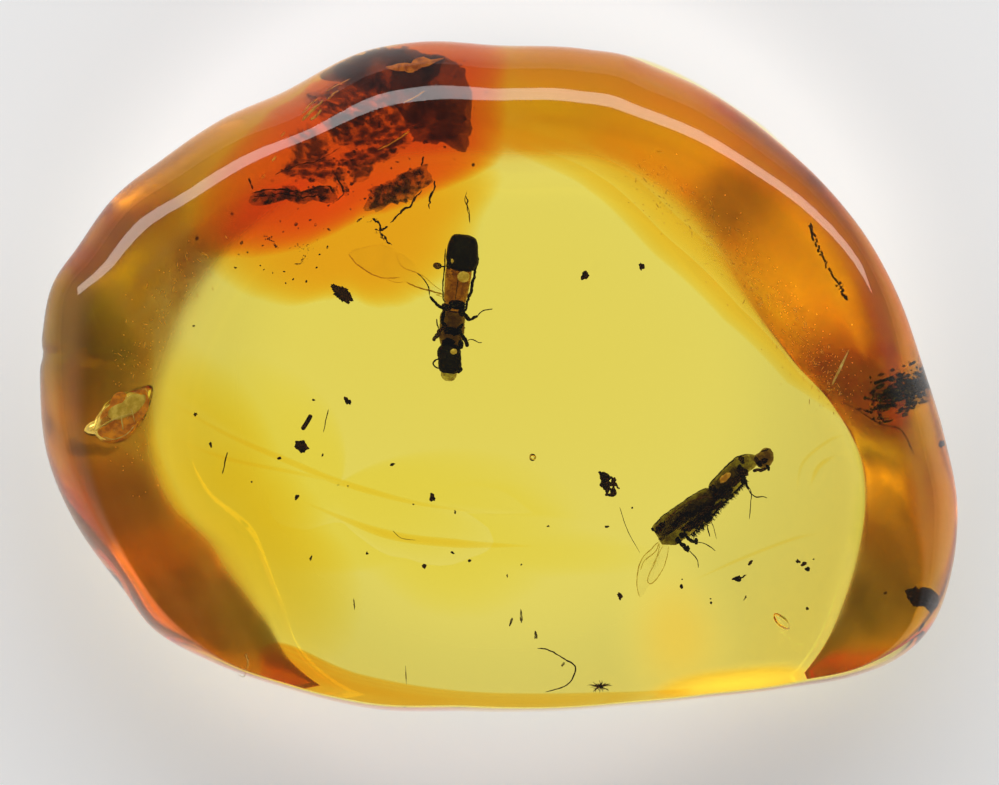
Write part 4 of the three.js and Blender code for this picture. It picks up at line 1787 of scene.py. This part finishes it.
    def holed_flake(self) -> list[Shape]:
        """The angular flake with three holes: bars round the holes, and points at its corners.

        Returns:
            One shape for each bar.
        """
        bars = (
            (0.15, ((3.0, -2.84), (3.14, -2.92), (3.3, -2.95), (3.46, -3.0))),
            (0.16, ((3.44, -2.98), (3.5, -3.12), (3.54, -3.26))),
            (0.13, ((3.5, -3.2), (3.52, -3.36), (3.42, -3.44), (3.28, -3.48))),
            (0.16, ((3.26, -3.5), (3.24, -3.38), (3.16, -3.26), (3.08, -3.2))),
            (0.15, ((3.1, -3.22), (3.14, -3.08), (3.1, -2.92))),
            (0.2, ((3.14, -3.2), (3.26, -3.22), (3.38, -3.2), (3.5, -3.2))),
            (0.12, ((3.36, -3.22), (3.38, -3.34), (3.38, -3.46))),
            (0.05, ((3.55, -3.2), (3.62, -3.28), (3.68, -3.31))),
        )
        return [flat_limb(path, width, 4.6, rough=0.5).shape() for width, path in bars]

    def moss(self) -> list[Shape]:
        """The mossy dark patch by the right rim.

        Returns:
            Many small lumps, drawn from a seed.
        """
        draw = np.random.default_rng(31)
        shapes = []
        middle, spread = self.moss_middle, self.moss_spread
        for i in range(self.moss_count):
            along, across = draw.normal(0, 1, 2)
            x = middle[0] + spread[0] * along
            y = middle[1] + self.moss_slope * along + spread[1] * across
            size = draw.uniform(*self.moss_sizes)
            place = Place(x, y, draw.uniform(*self.moss_heights))
            lump = ball((size, size, 0.7 * size), rough=0.7, seed=i, fine=6)
            shapes.append(lump.moved(place))
        return shapes

    def tuft(self) -> list[Shape]:
        """The brown fluff near the lower edge.

        Returns:
            Short threads from one root, drawn from a seed.
        """
        draw = np.random.default_rng(12)
        shapes = []
        for _ in range(self.tuft_threads):
            angle, reach = draw.uniform(0, TURN), draw.uniform(*self.tuft_reach)
            bend = draw.normal(0, self.tuft_bend, 2)
            path = (
                (0, 0, 0),
                (reach / 2 * np.cos(angle) + bend[0], reach / 4 * np.sin(angle), bend[1]),
                (reach * np.cos(angle), reach / 2 * np.sin(angle), 0),
            )
            thread = tube(path, (0.05, 0.03, 0.01), count=8, sides=5)
            shapes.append(thread.moved(Place(*self.tuft_root)))
        return shapes

    def dust(self) -> list[Shape]:
        """Dust and short scratches painted golden as glints, in the dark bands at the upper right and
        the left.

        Returns:
            One shape for each: every fourth is at the left, and every seventh is a scratch.
        """
        draw = np.random.default_rng(21)
        upper_right, left = (through(band, 50) for band in self.dust_bands)
        shapes = []
        for i in range(self.dust_count):
            line = upper_right if i % 4 else left
            x, y = line[draw.integers(len(line))] + draw.normal(0, self.dust_spread, 2)
            long = draw.uniform(0.02, 0.05) if i % 7 else draw.uniform(0.08, 0.2)
            shape = ball((long, 0.022, 0.015), rough=0.3, seed=i, fine=6)
            place = Place(x, y, draw.uniform(*self.dust_heights), draw.normal(110, 40))
            shapes.append(shape.moved(place))
        return shapes

    def beads(self) -> list[Shape]:
        """The line of fine grains down the upper right.

        Returns:
            One bead for each grain, their lengths and places drawn from a seed.
        """
        draw = np.random.default_rng(5)
        places = through(self.grain_line, self.bead_count)
        sizes = draw.uniform(*self.bead_sizes, self.bead_count)
        shifts = draw.normal(0, 0.035, self.bead_count)
        return [
            ball((size, 0.05, 0.04), rough=0.5, seed=i, fine=6).moved(Place(x + shift, y, 4.8, 120))
            for i, ((x, y), size, shift) in enumerate(zip(places, sizes, shifts))
        ]

    def build(self) -> None:
        """Makes every speck."""
        grains = [self.grain(row, 200 + i) for i, row in enumerate(self.grains)]
        large = ball((0.62, 0.56, 0.4), rough=0.5, seed=7, fine=18)
        grains.append(large.moved(Place(*self.large)))
        grains.append(Limb([(x, y, 4.6) for x, y in self.rod], (0.14, 0.14)).shape())
        make("dark_specks", grains + self.holed_flake(), DARK_LITTER)
        faint = [self.grain(row, 300 + i) for i, row in enumerate(self.faint)]
        make("brown_specks", faint, WOOD_FIBRE)
        hairs = [flat_limb(path, width, z).shape() for width, z, path in self.hairs]
        make("hairs_and_grain_line", hairs + self.beads(), HAIR)
        make("moss_patch", self.moss(), MOSS)
        stain = ball((1.7, 1.2, 1.0), rough=0.4, seed=9, fine=20)
        stain = stain.moved(Place(12.1, -0.45, 3.5, 20))
        make("moss_stain", [stain], Haze("moss_stain", (0.6, 0.6, 2.5)))
        make("brown_tuft", self.tuft(), WOOD_FIBRE)
        # The dust's golden colour is painted glint.
        make("dust_with_painted_glints", self.dust(), DUST_PAINTED_GLINT)
        fibre = [(x, y, 5.3 + 0.2 * i) for i, (x, y) in enumerate(self.fibre)]
        fibres = [
            Limb([(x, y, 5.2) for x, y in self.splinter], (0.02, 0.09, 0.05)).shape(),
            Limb(fibre, (0.03, 0.02)).shape(),
        ]
        make("pale_fibres", fibres, PALE_FIBRE)
        oblong = ball((0.7, 0.3, 0.24), rough=0.08, seed=3, fine=24)
        ringed = ball((0.2, 0.17, 0.14), rough=0.15, seed=4, fine=16)
        bubbles = [
            oblong.moved(Place(8.68, -7.41, 4.6, -42)),
            ringed.moved(Place(0.99, -2.36, 4.6)),
        ]
        make("air_bubbles", bubbles, AIR)


@dataclass
class SplitBubble:
    """The eye-shaped crack at the left: a flat gap with faces painted golden and pale as reflections,
    and fibres.
    """

    eye: Points2 = (
        (-12.5, -1.6), (-12.25, -1.0), (-11.7, -0.52), (-11.15, -0.33), (-10.66, -0.24),
        (-10.72, -0.75), (-11.0, -1.35), (-11.45, -1.83), (-11.95, -1.95), (-12.35, -1.78),
    )  # fmt: skip
    height: float = 4.6

    def sliver(self, outline: Points2, lift: float, seed: int, thick: float = 0.03) -> Shape:
        """A thin flake at a height over the gap."""
        scrap = flake(outline, thick, jag=0.015, seed=seed, bow=0.03, taper=6.0, fine=120, steps=8)
        return scrap.moved(Place(0, 0, self.height + lift))

    def build(self) -> None:
        """Makes the gap, its shadow, its faces painted golden and pale as reflections, its fibres and
        its edges.
        """
        make("split_gap", [self.sliver(self.eye, 0.0, 1, 0.3)], AIR)
        crescent = ((-12.62, -1.7, 4.4), (-12.5, -2.06, 4.4), (-12.1, -2.2, 4.4), (-11.6, -2.08, 4.4))
        shadow = tube(crescent, (0.12, 0.34, 0.34, 0.1), count=40, sides=12, flat=0.6)
        make("split_shadow", [shadow], Haze("split_shadow", (3.0, 2.9, 6.0)))
        # Painted reflections: golden slivers over the gap stand in for light the crack faces reflect.
        gold = (
            self.sliver(((-12.35, -1.6), (-12.0, -1.4), (-11.5, -1.3), (-11.1, -1.1), (-11.1, -1.3),
                         (-11.45, -1.75), (-12.0, -1.84)), 0.2, 3),
            self.sliver(((-12.25, -1.25), (-11.95, -0.8), (-11.4, -0.48), (-10.85, -0.32),
                         (-11.5, -0.62), (-12.0, -1.1)), 0.2, 4),
        )  # fmt: skip
        make("split_gold", gold, PAINTED_CRACK_REFLECTION)
        pale = self.sliver(((-12.0, -1.12), (-11.55, -0.72), (-11.0, -0.48), (-10.85, -0.5),
                            (-11.0, -0.9), (-11.4, -1.15)), 0.24, 5)  # fmt: skip
        # Painted reflection: the pale sliver stands in for light the crack reflects.
        make("split_pale", [pale], PAINTED_PALE_REFLECTION)
        paths = (
            (0.05, ((-12.45, -1.6), (-12.05, -1.35), (-11.6, -1.15), (-11.25, -1.05))),
            (0.04, ((-11.6, -1.15), (-11.56, -1.35), (-11.54, -1.55))),
            (0.04, ((-11.3, -0.9), (-11.22, -1.1), (-11.18, -1.3))),
            (0.03, ((-12.15, -1.78), (-11.8, -1.84), (-11.45, -1.7), (-11.2, -1.45))),
        )
        fibres = [flat_limb(path, width, self.height + 0.3).shape() for width, path in paths]
        make("split_fibres", fibres, PALE_FIBRE)
        rim = [(x, y, self.height) for x, y in (*self.eye, self.eye[0])]
        seam = ((10.48, -0.74), (11.0, -1.0), (11.47, -1.3), (12.18, -1.61), (12.55, -2.39))
        edges = [Limb(rim, (0.03, 0.06, 0.03)).shape(), flat_limb(seam, 0.04, 4.8).shape()]
        make("crack_edges", edges, BARK_FLAKE)


# --------------------------------------------------------------------------------------------
# The studio
# --------------------------------------------------------------------------------------------


@dataclass
class Studio:
    """A pale floor with a painted glow under the stone, a soft sky, one long softbox, a camera.

    Distances are in metres and angles in degrees from straight up.
    """

    floor_reach: float = 1.5
    floor_drop: float = 0.0001
    floor_shade: float = 0.75
    pane_edge: Span = (0.008, 0.013)
    centre_fade: Span = (0.006, 0.016)
    near_fade: Span = (0.02, 0.06)
    # Painted light: the floor's emission under and round the stone stands in for a backlight.
    centre_glow: float = 0.84
    near_glow: float = 0.25
    painted_caustics: Sequence[Glow] = (
        (0.0073, -0.0092, 0.0026, 0.0006, 0.65), (0.0054, -0.0076, 0.0017, 0.0022, 0.16),
    )  # fmt: skip
    painted_caustic_tint: Colour = (1.0, 0.72, 0.25)
    painted_caustic_turn: float = 8.0
    painted_caustic_fade: Span = (0.1, 1.4)
    sky: Colour = (0.97, 0.98, 1.0)
    sky_front: float = 0.84
    sky_side: float = 0.29
    sky_back: float = 0.3
    sky_left: float = 0.34
    sky_right: float = 0.24
    sky_top: float = 0.15
    front_arc: Span = (-0.85, -0.2)
    back_arc: Span = (0.3, 0.95)
    left_arc: Span = (-0.9, -0.4)
    right_arc: Span = (0.4, 0.9)
    top_arc: Span = (0.3, 0.95)
    box_low: float = 58.0
    box_high: float = 40.0
    box_far: float = 0.6
    box_wide: float = 2.2
    box_glow: float = 4.5
    camera_high: float = 0.35
    camera_shift: float = -0.00045
    view_wide: float = 0.03097
    focus_high: float = 0.004
    sensor: float = 36.0
    bounces: int = 32

    def floor(self) -> None:
        """Makes the floor, whose painted glow fades in two rings away from the middle.

        Under the stone it is a dark pane that only glows, a painted backlight, and beyond it is pale.
        Painted caustics add golden ovals of glow.
        """
        reach = self.floor_reach
        mesh = bpy.data.meshes.new("floor")
        corners = [(-reach, -reach), (reach, -reach), (reach, reach), (-reach, reach)]
        mesh.from_pydata([(x, y, -self.floor_drop) for x, y in corners], [], [(0, 1, 2, 3)])
        floor = bpy.data.objects.new("floor", mesh)
        bpy.context.scene.collection.objects.link(floor)
        nodes = Nodes("floor")
        away = nodes.length(nodes.place())
        beyond = nodes.span(away, *self.pane_edge, 0, 1)
        under = nodes.span(away, *self.centre_fade, self.centre_glow - self.near_glow, 0)
        near = nodes.span(away, *self.near_fade, self.near_glow, 0)
        # Painted caustics: golden ovals of emission where the stone's near edge would gather light.
        bright = nodes.math("ADD", *(self.painted_caustic_patch(nodes, *row) for row in self.painted_caustics))
        share = nodes.span(bright, 0.0, 0.3, 0.0, 1.0)
        nodes.set(
            Base_Color=nodes.blend(beyond, (0.0, 0.0, 0.0), (self.floor_shade,) * 3),
            Roughness=nodes.span(nodes.noise(8.0, detail=1), 0.3, 0.7, 0.45, 0.55),
            Specular_IOR_Level=0.0,
            Emission_Color=nodes.blend(share, (1.0, 1.0, 1.0), self.painted_caustic_tint),
            Emission_Strength=nodes.math("ADD", nodes.math("ADD", under, near), bright),
        )
        nodes.material.cycles.emission_sampling = "NONE"
        mesh.materials.append(nodes.material)

    def painted_caustic_patch(
        self, nodes: Nodes, x: float, y: float, wide: float, deep: float, strength: float
    ) -> Socket:
        """A painted caustic: a soft oval of glow on the floor, standing in for light the stone's near
        edge gathers.

        Args:
            nodes: the floor's sheet.
            x: the oval's middle.
            y: the same.
            wide: its half width.
            deep: its half depth.
            strength: its glow.

        Returns:
            The glow at each place.
        """
        mapping = nodes.add("Mapping", nodes.place(), vector_type="TEXTURE")
        mapping.inputs["Location"].default_value = (x, y, 0)
        mapping.inputs["Rotation"].default_value = (0, 0, radians(self.painted_caustic_turn))
        mapping.inputs["Scale"].default_value = (wide, deep, 1)
        return nodes.span(nodes.length(mapping.outputs["Vector"]), *self.painted_caustic_fade, strength, 0)

    def world(self) -> None:
        """Makes the sky: bright at the front, softer at the back and both sides, dim overhead."""
        world = bpy.data.worlds.new("sky")
        bpy.context.scene.world = world
        world.use_nodes = True
        sheet = Sheet(world.node_tree)
        split = sheet.add("SeparateXYZ", sheet.add("TexCoord").outputs["Generated"])
        east, north, up = split.outputs
        front = sheet.span(north, *self.front_arc, self.sky_front, self.sky_side)
        back = sheet.span(north, *self.back_arc, 0.0, self.sky_back - self.sky_side)
        left = sheet.span(east, *self.left_arc, self.sky_left, 0.0)
        right = sheet.span(east, *self.right_arc, 0.0, self.sky_right)
        sides = sheet.math("ADD", back, sheet.math("ADD", left, right))
        mix = sheet.add("Mix", sheet.span(up, *self.top_arc, 0, 1))
        sheet.feed(mix.inputs[2], sheet.math("ADD", front, sides))
        sheet.feed(mix.inputs[3], self.sky_top)
        background = sheet.tree.nodes["Background"]
        sheet.feed(background.inputs["Color"], (*self.sky, 1))
        sheet.feed(background.inputs["Strength"], mix.outputs[0])

    def softbox(self) -> None:
        """Hangs the long softbox on the far side, where the front bevel mirrors it."""
        low, high = radians(self.box_low), radians(self.box_high)
        middle = (low + high) / 2
        deep = 2 * self.box_far * tan((low - high) / 2)
        light = bpy.data.lights.new("softbox", "AREA")
        light.shape = "RECTANGLE"
        light.size, light.size_y = self.box_wide, deep
        light.energy = self.box_glow * pi * self.box_wide * deep
        box = bpy.data.objects.new("softbox", light)
        bpy.context.scene.collection.objects.link(box)
        box.location = (0, self.box_far * np.sin(middle), self.box_far * np.cos(middle))
        box.rotation_euler = (-box.location).to_track_quat("-Z", "Y").to_euler()

    def camera(self) -> None:
        """Sets the camera straight above the stone."""
        data = bpy.data.cameras.new("camera")
        data.sensor_width = self.sensor
        data.lens = self.sensor * (self.camera_high - self.focus_high) / self.view_wide
        data.clip_start = 0.01
        camera = bpy.data.objects.new("camera", data)
        bpy.context.scene.collection.objects.link(camera)
        camera.location = (0, self.camera_shift, self.camera_high)
        bpy.context.scene.camera = camera

    def build(self) -> None:
        """Makes the whole set, and lets light bounce often enough to cross the stone."""
        self.floor()
        self.world()
        self.softbox()
        self.camera()
        scene = bpy.context.scene
        scene.view_settings.view_transform = "Standard"
        scene.cycles.max_bounces = self.bounces
        scene.cycles.transmission_bounces = self.bounces
        scene.cycles.glossy_bounces = self.bounces
        scene.cycles.use_light_tree = False


def main() -> None:
    """Builds the stone, then what is sealed in it, then the studio."""
    AmberNugget().build()
    AmberClouds().build()
    upper_borer().build()
    lower_borer().build()
    LitterCloud().build()
    Specks().build()
    SplitBubble().build()
    Studio().build()


if __name__ == "__main__":
    logging.basicConfig(level=logging.INFO)
    main()
